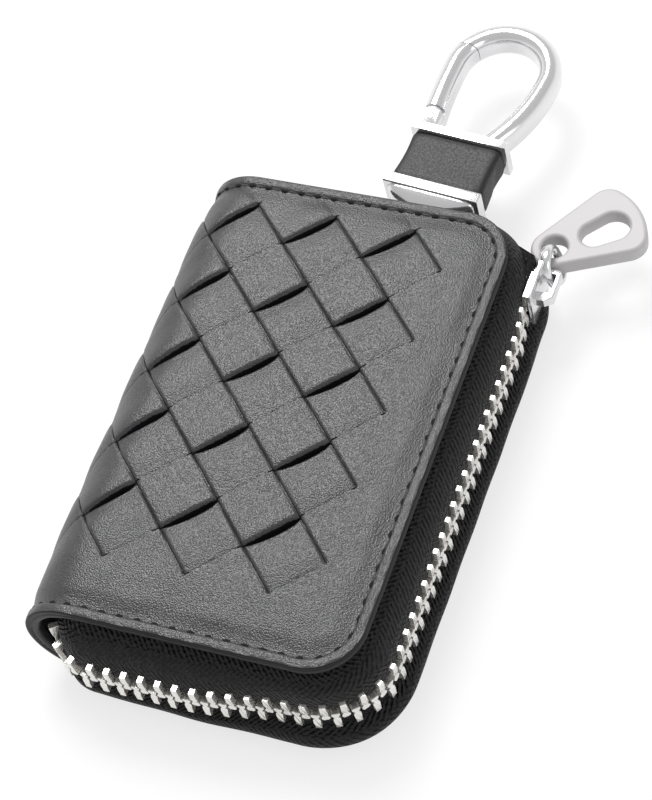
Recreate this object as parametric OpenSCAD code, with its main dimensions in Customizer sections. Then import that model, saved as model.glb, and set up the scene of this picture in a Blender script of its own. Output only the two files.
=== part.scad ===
/* [Case] */
// Width of a flat cover, from the spine's bend to the zip side
cover_w = 54.2; // [50:0.2:62]
// Length of the case, from its bottom end to its hook end
case_l = 101.6; // [94:0.2:112]
// Thickness of the closed case over the woven strips
case_t = 25; // [24:0.5:30]
// Radius of the cover corners on the zip side
corner_r = 10.5; // [9:0.5:12]

/* [Layers] */
// Thickness of the outer leather
leather_t = 1.1; // [1:0.1:1.3]
// Thickness of a woven strip and of the board beside it
strip_t = 0.9; // [0.8:0.1:1]
// Thickness of the inner lining
lining_t = 0.7; // [0.6:0.1:0.8]
// Height that a strip stands proud of the leather
strip_proud = 0.5; // [0.4:0.1:0.6]
// Rounding of the outer leather edges
edge_r = 0.7; // [0.5:0.1:0.9]

/* [Weave] */
// Distance from one strip to the next, and from slit to slit
weave_pitch = 11.64; // [11:0.1:12]
// Width of a leather strip
strip_w = 11.3; // [10.6:0.1:11.3]
// Length over which a strip dives through a slit
dive_l = 1.2; // [1:0.1:1.5]
// Rows of strip faces along the case
weave_rows = 5; // [3:1:5]
// Offset of the weave's middle row from the middle of the case
weave_y = 3.1; // [1:0.1:4]
// Margin from the zip side to the woven panel on the front
front_margin = 11.3; // [10:0.1:14]
// Margin from the zip side to the woven panel on the back
back_margin = 19.6; // [19:0.1:21]

/* [Zip] */
// Distance that the zip chain stands out past the covers
chain_out = 2.3; // [2:0.1:2.6]
// Distance that the lower tape bellies out past the covers
belly_out = 5.3; // [4.6:0.1:5.6]
// Thickness of the woven tape
tape_t = 0.9; // [0.7:0.1:1]
// Pitch of the teeth along one tape
tooth_pitch = 3.4; // [3.2:0.1:3.8]
// Width of a tooth along the chain at its head
tooth_w = 1.35; // [1.1:0.05:1.35]
// Depth of a tooth through the chain
tooth_d = 2.6; // [2.4:0.1:2.8]
// Height of the whole chain across both rows
chain_h = 7.2; // [6.8:0.1:7.6]

/* [Slider] */
// Length of the slider
slider_l = 9.8; // [9.4:0.2:10.6]
// Width of the slider
slider_w = 9.4; // [9.2:0.1:9.8]
// Travel of the slider along the straight side
slider_travel = 68; // [40:1:72]
// Thickness of the puller plate
puller_t = 3.6; // [3:0.1:4]
// Radius of the puller's wide end
puller_r = 8.4; // [7.8:0.1:9]
// Distance from the puller's small hole to its wide end's centre
puller_reach = 10.6; // [10:0.1:11]
// Wire diameter of the pull link
link_wire = 1.6; // [1.4:0.1:1.8]

/* [Hook] */
// Half width of the hook's loop, to the middle of its rod
loop_r = 10.1; // [9.6:0.1:11]
// Width of the rod across the loop
rod_w = 4.6; // [4:0.1:5]
// Height of the rod along the gate's pin
rod_h = 6.4; // [5.6:0.1:7]
// Distance from the swing pin to the middle of the loop
loop_y = 40.4; // [40:0.1:44]
// Width of the leather band in the hook
band_w = 19.6; // [18:0.1:20.4]
// Thickness of the leather band
band_t = 7; // [6:0.1:7.4]
// Height of the collars over and under the band
collar_h = 8.6; // [8.2:0.1:9.4]
// Lean of the hook towards the zip side, in degrees
hook_lean = 5.5; // [0:0.5:8]

/* [Hidden] */
$fn = 48;
// One overrun for every cut
over = 0.4;
// Gap between pieces that touch but move or are cut separately
gap = 0.05;
// Running clearance round a pin
pin_gap = 0.05;
// Clearance between soft faces on different bodies
soft_gap = 0.3;

// Levels through the back half; the front half mirrors them
z_leather = strip_proud;
z_weave = z_leather + leather_t;
z_lining = z_weave + strip_t;
z_inside = z_lining + lining_t;
z_mid = case_t / 2;
edge_x = cover_w / 2;
spine_x = -cover_w / 2;
end_y = case_l / 2;

// Spine shell and the two lines that it bends about
spine_r = z_mid - strip_proud;
spine_arc = PI * spine_r;
bend_off = PI * spine_r / 4;
spine_half_angle = 26;

// Weave lattice
half_diag = weave_pitch / sqrt(2);
weave_step = 2 * half_diag;
front_col = edge_x - front_margin - half_diag;
back_col = edge_x - back_margin - half_diag;
front_cols = floor((front_col - spine_x) / weave_step) + 1;
front_part = ceil((front_col + half_diag - spine_x) / weave_step);
back_cols = floor((back_col - spine_x) / weave_step) + 1;
pocket_d = strip_t - strip_proud;
tail_l = (weave_pitch - dive_l) / 2 - gap;

// Zip chain and its path round the case
chain_x = edge_x + chain_out;
chain_r = corner_r + chain_out;
corner_cx = edge_x - corner_r;
corner_cy = end_y - corner_r;
slider_y = corner_cy + 3.2;
chain_top = slider_y - slider_l / 2 + tooth_pitch / 4;
tuck_x = -24.2;
tuck_r = 9;
tuck_angle = 46;
top_run = 1;
run_side = chain_top + corner_cy;
run_corner = chain_r * PI / 2;
run_bottom = corner_cx - tuck_x;
run_tuck = tuck_r * PI * tuck_angle / 180;
run_all = run_side + run_corner + run_bottom + run_tuck;
tooth_count = floor(run_all / tooth_pitch) - 1;
tape_edge = 1.9;
head_reach = 0.9;
stop_l = 3;

// Tape outlines: distance out and height above the middle, as shares
tape_height = z_mid - z_inside - tape_t / 2;
front_tape_out_shares = [-0.6, 0.15, 0.75, 1, 1];
front_tape_up_shares = [1, 0.9, 0.74, 0.56, 0];
back_tape_out_shares = [-0.3, 0.3, 0.72, 0.95, 1, 0.88];
back_tape_up_shares = [1, 1, 0.98, 0.9, 0.78, 0.65];
tape_flat_share = 0.56;
band_h = slider_w / 2 + soft_gap;
band_end = slider_y + slider_l / 2 - soft_gap;

// Slider
plate_t = 0.8;
channel_gap = 0.2;
channel_d = tooth_d + 2 * channel_gap;
slider_d = channel_d + 2 * plate_t;
flange_w = 0.7;
mouth_share = 0.94;
slot_w = tape_t + 2 * soft_gap;
post_w = 1.8;
post_l = 3.2;
bridge_w = 2;
bridge_l = 7.6;
bridge_shift = 1;
bridge_bar = 0.8;
bridge_leg = 1;
window_d = 2.4;
link_seat = 1.05;
link_r = 3.5;
link_angle = 98;
puller_angle = 37.5;
window_x = chain_x + slider_d / 2 + window_d / 2;
window_y = slider_y + bridge_shift + bridge_l / 2 - bridge_leg - link_seat;
hole_x = window_x + 2 * link_r * cos(link_angle);
hole_y = window_y + 2 * link_r * sin(link_angle);
puller_neck_r = 4.9;
puller_corner_r = 4;
puller_corner_in = 0.8;
puller_end_x = 5.8;
hole_r = 2.3;
hole_rim = 1.4;
slot_r = 3.7;
slot_reach = 3.8;
slot_x = 9;

// Hook, measured from its swing pin
hook_x = 3;
hook_y = end_y + 2.7;
loop_x = 1.2;
band_mid = 0.6;
shackle_y = 6;
band_y0 = 8.5;
band_y1 = 20.2;
collar_t = 1.7;
collar_w = band_w + 1.2;
right_sweep_r = 35.7;
left_sweep_r = 85;
rod_flat = rod_h - rod_w;
gate_pin_r = 0.8;
gate_eye_h = 3;
gate_gap = 0.15;
gate_pin_y = band_y1 + collar_t + 2.9;
gate_sweep = asin((loop_y - gate_pin_y) / left_sweep_r);
gate_pin_x = loop_x - loop_r + left_sweep_r * (1 - cos(gate_sweep));
gate_reach = 19.6;
nose_arc = 40;
tang_w = 12;
tang_l = 5;
tang_t = 2.4;
neck_w = 9;
neck_t = 3.6;
eye_r = 2.5;
swing_pin_r = 1.2;
eye_w = 8;
ear_w = 4;
strap_t = 1.5;
strap_w = 17;
strap_l = 18;
strap_drop = 9;
rivet_r = 2.2;
rivet_h = 0.9;
rivet_shank_r = 1;
rivet_gap = 9;
ring_r = 11.5;
ring_wire = 1.6;
ring_pitch = 1.7;
tail_eye_r = 3.3;
tail_bore_r = 2.1;
tail_eye_w = 5;
spring_wire = 0.5;
spring_r = 1.25;
spring_turns = 3;
pocket_t = 0.8;
pocket_l = 58;
pocket_w = 44;

module to_front() {
    translate([0, 0, case_t]) mirror([0, 0, 1]) children();
}

// Outline of a flat cover, drawn in by an inset on its three sewn sides
module cover_plan(inset = 0) {
    r = corner_r - inset;
    translate([spine_x, -end_y + inset]) square([cover_w - corner_r, case_l - 2 * inset]);
    translate([spine_x, -corner_cy]) square([cover_w - inset, 2 * corner_cy]);
    for (s = [-1, 1]) translate([corner_cx, s * corner_cy]) circle(r);
}

// Rounds the leather's outer edge along the three sewn sides
module edge_cut() {
    module profile() {
        difference() {
            translate([-edge_r, -over]) square([edge_r + over, edge_r + over]);
            translate([-edge_r, edge_r]) circle(edge_r);
        }
    }
    translate([0, 0, z_leather]) {
        translate([edge_x, corner_cy, 0]) rotate([90, 0, 0])
            linear_extrude(2 * corner_cy) profile();
        for (s = [-1, 1]) translate([corner_cx, s * corner_cy, 0])
            rotate([0, 0, s > 0 ? 0 : -90]) rotate_extrude(angle = 90)
                translate([corner_r, 0]) profile();
        for (s = [-1, 1]) translate([s > 0 ? spine_x - over : corner_cx, s * end_y, 0])
            rotate([0, 0, s * 90]) rotate([90, 0, 0])
                linear_extrude(corner_cx - spine_x + over) profile();
    }
}

function row_y(j) = weave_y + (j - (weave_rows - 1) / 2) * weave_step;

// One stretch of strip that dives, crosses over a band and dives again
module strip_wave(turn, grow = 0) {
    p = weave_pitch / 2;
    d = dive_l / 2;
    tail = p + d + tail_l;
    outer = [[-tail, z_weave], [-p - d, z_weave], [-p + d, 0], [p - d, 0], [p + d, z_weave],
        [tail, z_weave]];
    inner = [for (i = [5:-1:0]) [outer[i][0], outer[i][1] + strip_t]];
    rotate([0, 0, turn]) translate([0, strip_w / 2 + grow, 0]) rotate([90, 0, 0])
        linear_extrude(strip_w + 2 * grow) polygon(concat(outer, inner));
}

module strip_set(col, cols, turn) {
    intersection() {
        for (i = [0:cols - 1], j = [0:weave_rows - 1])
            translate([col - i * weave_step, row_y(j), 0]) strip_wave(turn);
        translate([spine_x + gap, -end_y, -over]) cube([cover_w, case_l, case_t]);
    }
}

// Room in the leather for one strip face and its two slits
module weave_cut(turn) {
    w = strip_w + 2 * gap;
    rotate([0, 0, turn]) {
        translate([-weave_pitch / 2, -w / 2, -over])
            cube([weave_pitch, w, over + strip_t + gap]);
        for (s = [-1, 1]) translate([s * weave_pitch / 2 - dive_l / 2 - strip_t / 2, -w / 2, -over])
            cube([dive_l + strip_t, w, over + case_t / 4]);
    }
}

module weave_cuts(col, cols, turn) {
    for (i = [0:cols - 1], j = [0:weave_rows - 1])
        translate([col - i * weave_step, row_y(j), 0]) weave_cut(turn);
}

module cover_leather(col, cols, turn) {
    difference() {
        translate([0, 0, z_leather]) linear_extrude(leather_t) cover_plan();
        edge_cut();
        weave_cuts(col, cols, turn);
    }
}

// Stiff board beside the strips, cut away where they run under the leather
module cover_board(col, cols, turn) {
    w = strip_w + 2 * gap;
    run = weave_pitch + dive_l + 2 * tail_l + 2 * gap;
    difference() {
        translate([0, 0, z_weave]) linear_extrude(strip_t) cover_plan(edge_r);
        for (i = [0:cols - 1], j = [0:weave_rows - 1])
            translate([col - i * weave_step, row_y(j), z_weave - over]) rotate([0, 0, turn])
                translate([-run / 2, -w / 2, 0]) cube([run, w, strip_t + 2 * over]);
    }
}

module cover_lining() {
    translate([0, 0, z_lining]) linear_extrude(lining_t) cover_plan(edge_r);
}

// Arc of the spine shell between two radii and two angles
module spine_shell(r_out, r_in, a0, a1, inset = 0) {
    translate([spine_x, end_y - inset, z_mid]) rotate([90, 0, 0]) rotate([0, 0, a0])
        rotate_extrude_shell(r_out, r_in, a1 - a0, case_l - 2 * inset);
}

module rotate_extrude_shell(r_out, r_in, angle, len) {
    rotate_extrude(angle = angle) translate([r_in, 0]) square([r_out - r_in, len]);
}

// Square prisms along the spine's normal where strips cross over
module spine_prisms(grow = 0) {
    w = strip_w + 2 * grow;
    for (i = [front_cols - 1:front_cols + 1], j = [0:weave_rows - 1]) {
        s = spine_x - (front_col - i * weave_step);
        translate([spine_x, row_y(j), z_mid]) rotate([0, -90 - s / spine_r * 180 / PI, 0])
            rotate([0, 0, 45]) translate([-w / 2, -w / 2, spine_r / 2]) cube([w, w, spine_r]);
    }
}

module spine_leather(a0, a1) {
    difference() {
        spine_shell(spine_r, spine_r - leather_t, a0, a1);
        difference() {
            spine_prisms(gap);
            spine_shell(spine_r - pocket_d - gap, spine_r / 4, 60, 300);
        }
    }
}

function unit(v) = v / norm(v);
function side(a, b) = [-unit(b - a)[1], unit(b - a)[0]];
function lean_out(p, i) = i == 0 ? side(p[0], p[1])
    : i == len(p) - 1 ? side(p[i - 1], p[i])
    : (side(p[i - 1], p[i]) + side(p[i], p[i + 1]))
        / (1 + side(p[i - 1], p[i]) * side(p[i], p[i + 1]));

// Strip of constant thickness along a line of points
module ribbon(p, t) {
    polygon(concat([for (i = [0:len(p) - 1]) p[i] + lean_out(p, i) * t / 2],
        [for (i = [len(p) - 1:-1:0]) p[i] - lean_out(p, i) * t / 2]));
}

module front_tape_profile() {
    p = [for (i = [0:3]) [chain_out * front_tape_out_shares[i],
        z_mid + tape_height * front_tape_up_shares[i]]];
    ribbon(concat(p, [[chain_out, z_mid + tape_edge]]), tape_t);
}

module back_tape_profile() {
    p = [for (i = [0:5]) [belly_out * back_tape_out_shares[i],
        z_mid - tape_height * back_tape_up_shares[i]]];
    ribbon(concat(p, [[chain_out, z_mid - tape_height * tape_flat_share],
        [chain_out, z_mid - tape_edge]]), tape_t);
}

// Halves of a tape profile: the flat band that the slider runs on, and the rest
module flat_band() {
    intersection() {
        children();
        translate([0, z_mid - band_h]) square([chain_out + tape_t, 2 * band_h]);
    }
}

module beside_band() {
    difference() {
        children();
        translate([-corner_r, z_mid - band_h]) square([2 * corner_r, 2 * band_h]);
    }
}

// Sweeps a profile round the zip side: side, corner, bottom end and the tucked end. At the hook
// end the flat band runs straight on through the slider, and the rest turns the corner
module tape_sweep() {
    translate([edge_x, corner_cy, 0]) rotate([90, 0, 0]) linear_extrude(2 * corner_cy) children();
    translate([edge_x, band_end, 0]) rotate([90, 0, 0])
        linear_extrude(band_end - corner_cy) flat_band() children();
    translate([corner_cx, corner_cy, 0]) rotate_extrude(angle = 90)
        translate([corner_r, 0]) beside_band() children();
    translate([corner_cx - top_run, end_y, 0]) rotate([0, 0, 90]) rotate([90, 0, 0])
        linear_extrude(top_run) beside_band() children();
    translate([corner_cx, -corner_cy, 0]) rotate([0, 0, -90]) rotate_extrude(angle = 90)
        translate([corner_r, 0]) children();
    translate([corner_cx, -end_y, 0]) rotate([0, 0, -90]) rotate([90, 0, 0])
        linear_extrude(run_bottom) children();
    translate([tuck_x, -end_y - chain_out + tuck_r, 0]) rotate([0, 0, -90]) mirror([0, 1, 0])
        rotate_extrude(angle = tuck_angle) translate([tuck_r - chain_out, 0]) children();
}

// Places a piece at a distance along the chain, facing out of the case
module on_chain(s) {
    if (s < run_side) {
        translate([chain_x, chain_top - s, z_mid]) children();
    } else if (s < run_side + run_corner) {
        translate([corner_cx, -corner_cy, z_mid]) rotate([0, 0, (run_side - s) / chain_r * 180 / PI])
            translate([chain_r, 0, 0]) children();
    } else if (s < run_side + run_corner + run_bottom) {
        translate([corner_cx - (s - run_side - run_corner), -end_y - chain_out, z_mid])
            rotate([0, 0, -90]) children();
    } else {
        translate([tuck_x, -end_y - chain_out + tuck_r, z_mid])
            rotate([0, 0, -90 - (s - run_side - run_corner - run_bottom) / tuck_r * 180 / PI])
                translate([tuck_r, 0, 0]) children();
    }
}

// One cast tooth: a hooked head and two legs that clamp the tape's edge
module tooth() {
    top = chain_h / 2;
    w = tooth_w / 2;
    difference() {
        translate([tooth_d / 2, 0, 0]) rotate([0, -90, 0]) linear_extrude(tooth_d)
            polygon([[-head_reach, -w * 0.8], [-head_reach, w * 0.8], [-head_reach / 3, w],
                [head_reach / 3, w * 0.62], [head_reach, w * 0.62], [tape_edge, w * 1.45],
                [top, w * 1.3], [top, -w * 1.3], [tape_edge, -w * 1.45], [head_reach, -w * 0.62],
                [head_reach / 3, -w * 0.62], [-head_reach / 3, -w]]);
        translate([-tape_t / 2 - gap, -tooth_pitch, tape_edge - gap])
            cube([tape_t + 2 * gap, 2 * tooth_pitch, chain_h]);
    }
}

module teeth(phase, flip) {
    for (i = [0:tooth_count - 1]) on_chain((i + phase) * tooth_pitch)
        rotate([flip ? 180 : 0, 0, 0]) tooth();
}

module back_cover() { color("#3a3b3d") cover_leather(back_col, back_cols, 45); }
module back_board() { color("#8a7a62") cover_board(back_col, back_cols, 45); }
module back_lining() { color("#1d1d1f") cover_lining(); }
module back_strips() { color("#46474a") strip_set(back_col, back_cols, 45); }
module front_cover() { color("#3a3b3d") to_front() cover_leather(front_col, front_part, -45); }
module front_board() { color("#8a7a62") to_front() cover_board(front_col, front_part, -45); }
module front_lining() { color("#1d1d1f") to_front() cover_lining(); }
module front_strips() { color("#46474a") to_front() strip_set(front_col, front_part, -45); }

module spine_cover() {
    color("#3a3b3d") spine_leather(180 - spine_half_angle, 180 + spine_half_angle);
}
module front_fold() { color("#3a3b3d") spine_leather(90, 180 - spine_half_angle); }
module back_fold() { color("#3a3b3d") spine_leather(180 + spine_half_angle, 270); }

module spine_lining() {
    r = spine_r - leather_t;
    color("#1d1d1f") spine_shell(r, r - lining_t, 90, 270, edge_r);
}

module spine_strips() {
    color("#46474a") intersection() {
        spine_prisms();
        spine_shell(spine_r + strip_proud, spine_r - pocket_d, 90, 270);
    }
}

module back_tape() { color("#1b1b1c") tape_sweep() back_tape_profile(); }
module front_tape() { color("#1b1b1c") tape_sweep() front_tape_profile(); }
module back_teeth() { color("#d4d6d8") teeth(0.5, true); }
module front_teeth() { color("#d4d6d8") teeth(0, false); }

// Clip at the end of the lower tape that stops the slider
module bottom_stop() {
    color("#d4d6d8") on_chain(tooth_count * tooth_pitch + stop_l * 0.6) difference() {
        translate([-tooth_d / 2, -stop_l / 2, -chain_h / 2]) cube([tooth_d, stop_l, chain_h / 2]);
        translate([-tape_t / 2 - 2 * gap, -stop_l, -chain_h])
            cube([tape_t + 4 * gap, 2 * stop_l, chain_h - tape_edge + gap]);
    }
}

// Slip pocket for a card, sewn on the front lining along three sides
module card_pocket() {
    color("#262628") translate([edge_x - pocket_w - corner_r / 2, -pocket_l / 2 - corner_r / 2,
        case_t - z_inside - pocket_t]) cube([pocket_w, pocket_l, pocket_t]);
}

module slider_plate() {
    mouth = slider_w * mouth_share;
    rotate([0, 90, 0]) linear_extrude(plate_t) polygon([
        [-mouth / 2, -slider_l / 2], [mouth / 2, -slider_l / 2], [mouth / 2, 0],
        [slider_w / 2, slider_l * 0.25], [slider_w / 2, slider_l * 0.4],
        [slider_w * 0.3, slider_l / 2], [-slider_w * 0.3, slider_l / 2],
        [-slider_w / 2, slider_l * 0.4], [-slider_w / 2, slider_l * 0.25], [-mouth / 2, 0]]);
}

// Arch over the outer plate with the window that the link passes through
module slider_bridge() {
    h = window_d + bridge_bar;
    translate([slider_d / 2, bridge_shift, 0]) difference() {
        linear_extrude(bridge_w, center = true) polygon([[-over / 2, -bridge_l / 2],
            [h / 2, -bridge_l / 2], [h, -bridge_l / 2 + bridge_leg], [h, bridge_l / 2 - bridge_leg / 2],
            [h - bridge_leg / 2, bridge_l / 2], [-over / 2, bridge_l / 2]]);
        translate([0, -bridge_l / 2 + 2 * bridge_leg, -bridge_w])
            cube([window_d, bridge_l - 3 * bridge_leg, 2 * bridge_w]);
    }
}

// Two plates joined by the divider, with flanges that guide both tapes, and the bridge
module slider_body() {
    lip = (channel_d - slot_w) / 2;
    mouth = slider_w * mouth_share;
    color("#d8dadc") translate([chain_x, slider_y, z_mid]) {
        for (s = [-1, 1]) translate([s > 0 ? channel_d / 2 : -slider_d / 2, 0, 0]) slider_plate();
        for (s = [-1, 1], u = [-1, 1])
            translate([s > 0 ? channel_d / 2 - lip : -channel_d / 2 - plate_t / 2,
                -slider_l / 2, u > 0 ? mouth / 2 - flange_w : -mouth / 2])
                cube([lip + plate_t / 2, slider_l * 0.62, flange_w]);
        translate([-channel_d / 2 - plate_t / 2, slider_l / 2 - post_l - flange_w, -post_w / 2])
            cube([channel_d + plate_t, post_l, post_w]);
        slider_bridge();
    }
}

module pull_link() {
    color("#d8dadc") translate([window_x, window_y, z_mid]) rotate([0, 0, link_angle])
        translate([link_r, 0, 0]) rotate([90, 0, 0]) rotate_extrude() translate([link_r, 0])
            circle(link_wire / 2);
}

// Middle of one of the two corners at the puller's wide end
puller_corner = [puller_reach + puller_r - puller_corner_r - puller_corner_in,
    puller_r - puller_corner_r];

// Straight sides from the neck to the corners
module puller_sides(neck_x) {
    d = puller_corner - [neck_x, 0];
    lean = asin((puller_corner_r - puller_neck_r) / norm(d)) + atan2(d[1], d[0]);
    way = [-sin(lean), cos(lean)];
    q1 = [neck_x, 0] + (puller_neck_r - gap / 2) * way;
    q2 = puller_corner + (puller_corner_r - gap / 2) * way;
    polygon([q1, q2, [puller_corner[0], 0], [q2[0], -q2[1]], [q1[0], -q1[1]]]);
}

// Bulged end between the two corners
module puller_end() {
    c = [puller_end_x, 0];
    r = norm(puller_corner - c) + puller_corner_r - gap / 2;
    far = 2 * (puller_corner - c);
    intersection() {
        translate(c) circle(r);
        polygon([c, c + far, c + [far[0], -far[1]]]);
    }
}

module puller() {
    neck_x = puller_neck_r - hole_r - hole_rim;
    color("#b9bbbd") translate([hole_x, hole_y, z_mid - puller_t / 2]) rotate([0, 0, puller_angle])
        difference() {
            union() {
                translate([neck_x, 0, 0]) cylinder(h = puller_t, r = puller_neck_r);
                linear_extrude(puller_t) puller_end();
                for (s = [-1, 1]) translate([puller_corner[0], s * puller_corner[1], 0])
                    cylinder(h = puller_t, r = puller_corner_r);
                linear_extrude(puller_t) puller_sides(neck_x);
            }
            translate([0, 0, -over]) cylinder(h = puller_t + 2 * over, r = hole_r);
            translate([slot_x, gap / 2 - slot_r, -over])
                cube([slot_reach, 2 * slot_r - gap, puller_t + 2 * over]);
            for (x = [slot_x, slot_x + slot_reach]) translate([x, 0, -over])
                cylinder(h = puller_t + 2 * over, r = slot_r);
        }
}

// Everything in the hook is drawn from its swing pin, in line with the hook
module at_hook() {
    translate([hook_x, hook_y, z_mid]) rotate([0, 0, -hook_lean]) children();
}

// Section of the rod: flat sides with round edges
module rod_section() {
    square([rod_w, rod_flat], center = true);
    for (s = [-1, 1]) translate([0, s * rod_flat / 2]) circle(rod_w / 2);
}

// Half of the loop from its right side, over the top, to its left side
module loop_arc() {
    translate([loop_x, loop_y, 0]) rotate_extrude(angle = 180) translate([loop_r, 0]) rod_section();
}

// Long curve from the loop's side down to the collar
module side_sweep(r, left, drop_y) {
    translate([left ? loop_x - loop_r + r : loop_x + loop_r - r, loop_y, 0])
        mirror([left ? 1 : 0, 0, 0]) mirror([0, 1, 0])
            rotate_extrude(angle = asin(drop_y / r), $fn = 240) translate([r, 0]) rod_section();
}

module collar(y, t, w, h) {
    translate([band_mid - w / 2, y, -h / 2]) cube([w, t, h]);
}

module gate_reach_disc(r) {
    translate([gate_pin_x, gate_pin_y, 0]) cylinder(h = 2 * rod_h, r = r, center = true);
}

// Cast loop, its collar, the ears of the gate's pin and the tang inside the band
module hook_frame() {
    ear_t = (rod_h - gate_eye_h) / 2 - gap;
    ear_l = gate_pin_y - band_y1 - collar_t / 2;
    color("#dcdee0") at_hook() {
        difference() {
            loop_arc();
            intersection() {
                gate_reach_disc(gate_reach + gate_gap);
                translate([loop_x - 2 * loop_r, 0, -rod_h])
                    cube([2 * loop_r, loop_y + 2 * loop_r, 2 * rod_h]);
            }
        }
        difference() {
            side_sweep(right_sweep_r, false, loop_y - band_y1 - collar_t / 2);
            translate([0, band_y1 + gap - 2 * rod_w, -rod_h])
                cube([2 * loop_r, 2 * rod_w, 2 * rod_h]);
        }
        collar(band_y1, collar_t, collar_w, collar_h);
        difference() {
            for (s = [-1, 1]) translate([gate_pin_x - rod_w / 2, band_y1 + collar_t / 2,
                s > 0 ? rod_h / 2 - ear_t : -rod_h / 2]) {
                cube([rod_w, ear_l, ear_t]);
                translate([rod_w / 2, ear_l, 0]) cylinder(h = ear_t, r = rod_w / 2);
            }
            translate([gate_pin_x, gate_pin_y, 0])
                cylinder(h = 2 * rod_h, r = gate_pin_r, center = true);
        }
        translate([band_mid - tang_w / 2, band_y1 - tang_l, -tang_t / 2])
            cube([tang_w, tang_l + collar_t / 2, tang_t]);
    }
}

// Sprung gate that closes the loop against its nose
module hook_gate() {
    color("#dcdee0") at_hook() difference() {
        union() {
            intersection() {
                translate([loop_x, loop_y, 0]) mirror([1, 0, 0])
                    rotate_extrude(angle = nose_arc) translate([loop_r, 0]) rod_section();
                gate_reach_disc(gate_reach);
            }
            side_sweep(left_sweep_r, true, loop_y - gate_pin_y);
            translate([gate_pin_x, gate_pin_y, 0])
                cylinder(h = gate_eye_h, r = rod_w / 2, center = true);
        }
        for (s = [-1, 1]) translate([gate_pin_x - rod_w, gate_pin_y - rod_w,
            s > 0 ? gate_eye_h / 2 : -rod_h - gate_eye_h / 2])
            cube([2 * rod_w, 1.6 * rod_w, rod_h]);
        translate([gate_pin_x, gate_pin_y, 0])
            cylinder(h = 2 * rod_h, r = gate_pin_r + pin_gap, center = true);
        translate([gate_pin_x, gate_pin_y, 0])
            cylinder(h = gate_eye_h * 0.6, r = spring_r + spring_wire, center = true);
    }
}

module gate_pin() {
    color("#c9cbcd") at_hook() translate([gate_pin_x, gate_pin_y, 0])
        cylinder(h = rod_h, r = gate_pin_r, center = true);
}

// Coil round the gate's pin, closed rings touching each other
module gate_spring() {
    color("#8f9194") at_hook() translate([gate_pin_x, gate_pin_y, 0])
        for (i = [0:spring_turns - 1]) translate([0, 0, (i - (spring_turns - 1) / 2) * spring_wire])
            rotate_extrude() translate([spring_r, 0])
                circle(spring_wire / 2 - gap / 2);
}

// Leather strap folded round on itself between the two collars
module hook_band() {
    color("#2c2c2e") at_hook() difference() {
        translate([band_mid - band_w / 2, band_y0 + gap, -band_t / 2])
            cube([band_w, band_y1 - band_y0 - 2 * gap, band_t]);
        translate([band_mid - tang_w / 2 - gap, band_y0 - over, -tang_t / 2 - gap])
            cube([tang_w + 2 * gap, band_y1 - band_y0 + 2 * over, tang_t + 2 * gap]);
    }
}

// Lower collar, the tapered neck and the eye round the swing pin
module hook_shackle() {
    color("#dcdee0") at_hook() {
        collar(shackle_y, band_y0 - shackle_y, collar_w, collar_h);
        translate([band_mid - tang_w / 2, shackle_y, -tang_t / 2])
            cube([tang_w, band_y0 - shackle_y + tang_l, tang_t]);
        difference() {
            union() {
                translate([0, 0, -neck_t / 2]) linear_extrude(neck_t)
                    polygon([[-eye_w / 2, 0], [-eye_w / 2, eye_r], [band_mid - neck_w, shackle_y],
                        [band_mid - neck_w, shackle_y + over], [band_mid + neck_w, shackle_y + over],
                        [band_mid + neck_w, shackle_y], [eye_w / 2, eye_r], [eye_w / 2, 0]]);
                rotate([0, 90, 0]) cylinder(h = eye_w, r = eye_r, center = true);
            }
            rotate([0, 90, 0]) cylinder(h = 2 * eye_w, r = swing_pin_r + pin_gap, center = true);
        }
    }
}

module swing_pin() {
    color("#c9cbcd") at_hook() rotate([0, 90, 0])
        cylinder(h = eye_w + 2 * ear_w + 2 * soft_gap, r = swing_pin_r, center = true);
}

// Where the strap lies flat, seen from the swing pin
function strap_floor() = z_inside - z_mid;
function rivet_y(i) = -strap_drop - 4 * rivet_shank_r - i * rivet_gap;
function tail_y() = -strap_drop - strap_l;

// Leather strap: two loops round the swing pin, a drop, a flat length and the eye of its tail
module anchor_strap() {
    p = [[0, -eye_r + strap_t / 2], [-eye_r, -eye_r + strap_t / 3], [-strap_drop, strap_floor() + strap_t],
        [-strap_drop * 1.15, strap_floor() + strap_t / 2], [tail_y(), strap_floor() + strap_t / 2]];
    color("#2c2c2e") at_hook() difference() {
        union() {
            for (s = [-1, 1]) translate([s * (eye_w / 2 + soft_gap + ear_w / 2), 0, 0])
                rotate([0, 90, 0]) cylinder(h = ear_w, r = eye_r, center = true);
            translate([-strap_w / 2, 0, 0]) rotate([90, 0, 90]) linear_extrude(strap_w)
                ribbon(p, strap_t);
            translate([0, tail_y(), strap_floor() + tail_eye_r]) rotate([0, 90, 0])
                cylinder(h = tail_eye_w, r = tail_eye_r, center = true);
        }
        rotate([0, 90, 0]) cylinder(h = 2 * strap_w, r = swing_pin_r, center = true);
        translate([-eye_w / 2 - soft_gap, -eye_r - soft_gap, -eye_r - strap_t])
            cube([eye_w + 2 * soft_gap, 3 * eye_r, 3 * eye_r]);
        for (i = [0, 1]) translate([0, rivet_y(i), -z_mid]) cylinder(h = z_mid, r = rivet_shank_r);
        translate([0, tail_y(), strap_floor() + tail_eye_r]) rotate([0, 90, 0])
            cylinder(h = 2 * tail_eye_w, r = tail_bore_r, center = true);
    }
}

module strap_rivets() {
    color("#c9cbcd") at_hook() for (i = [0, 1]) translate([0, rivet_y(i), strap_floor()]) {
        cylinder(h = strap_t, r = rivet_shank_r);
        translate([0, 0, strap_t]) cylinder(h = rivet_h, r1 = rivet_r, r2 = rivet_r * 0.7);
    }
}

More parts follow.
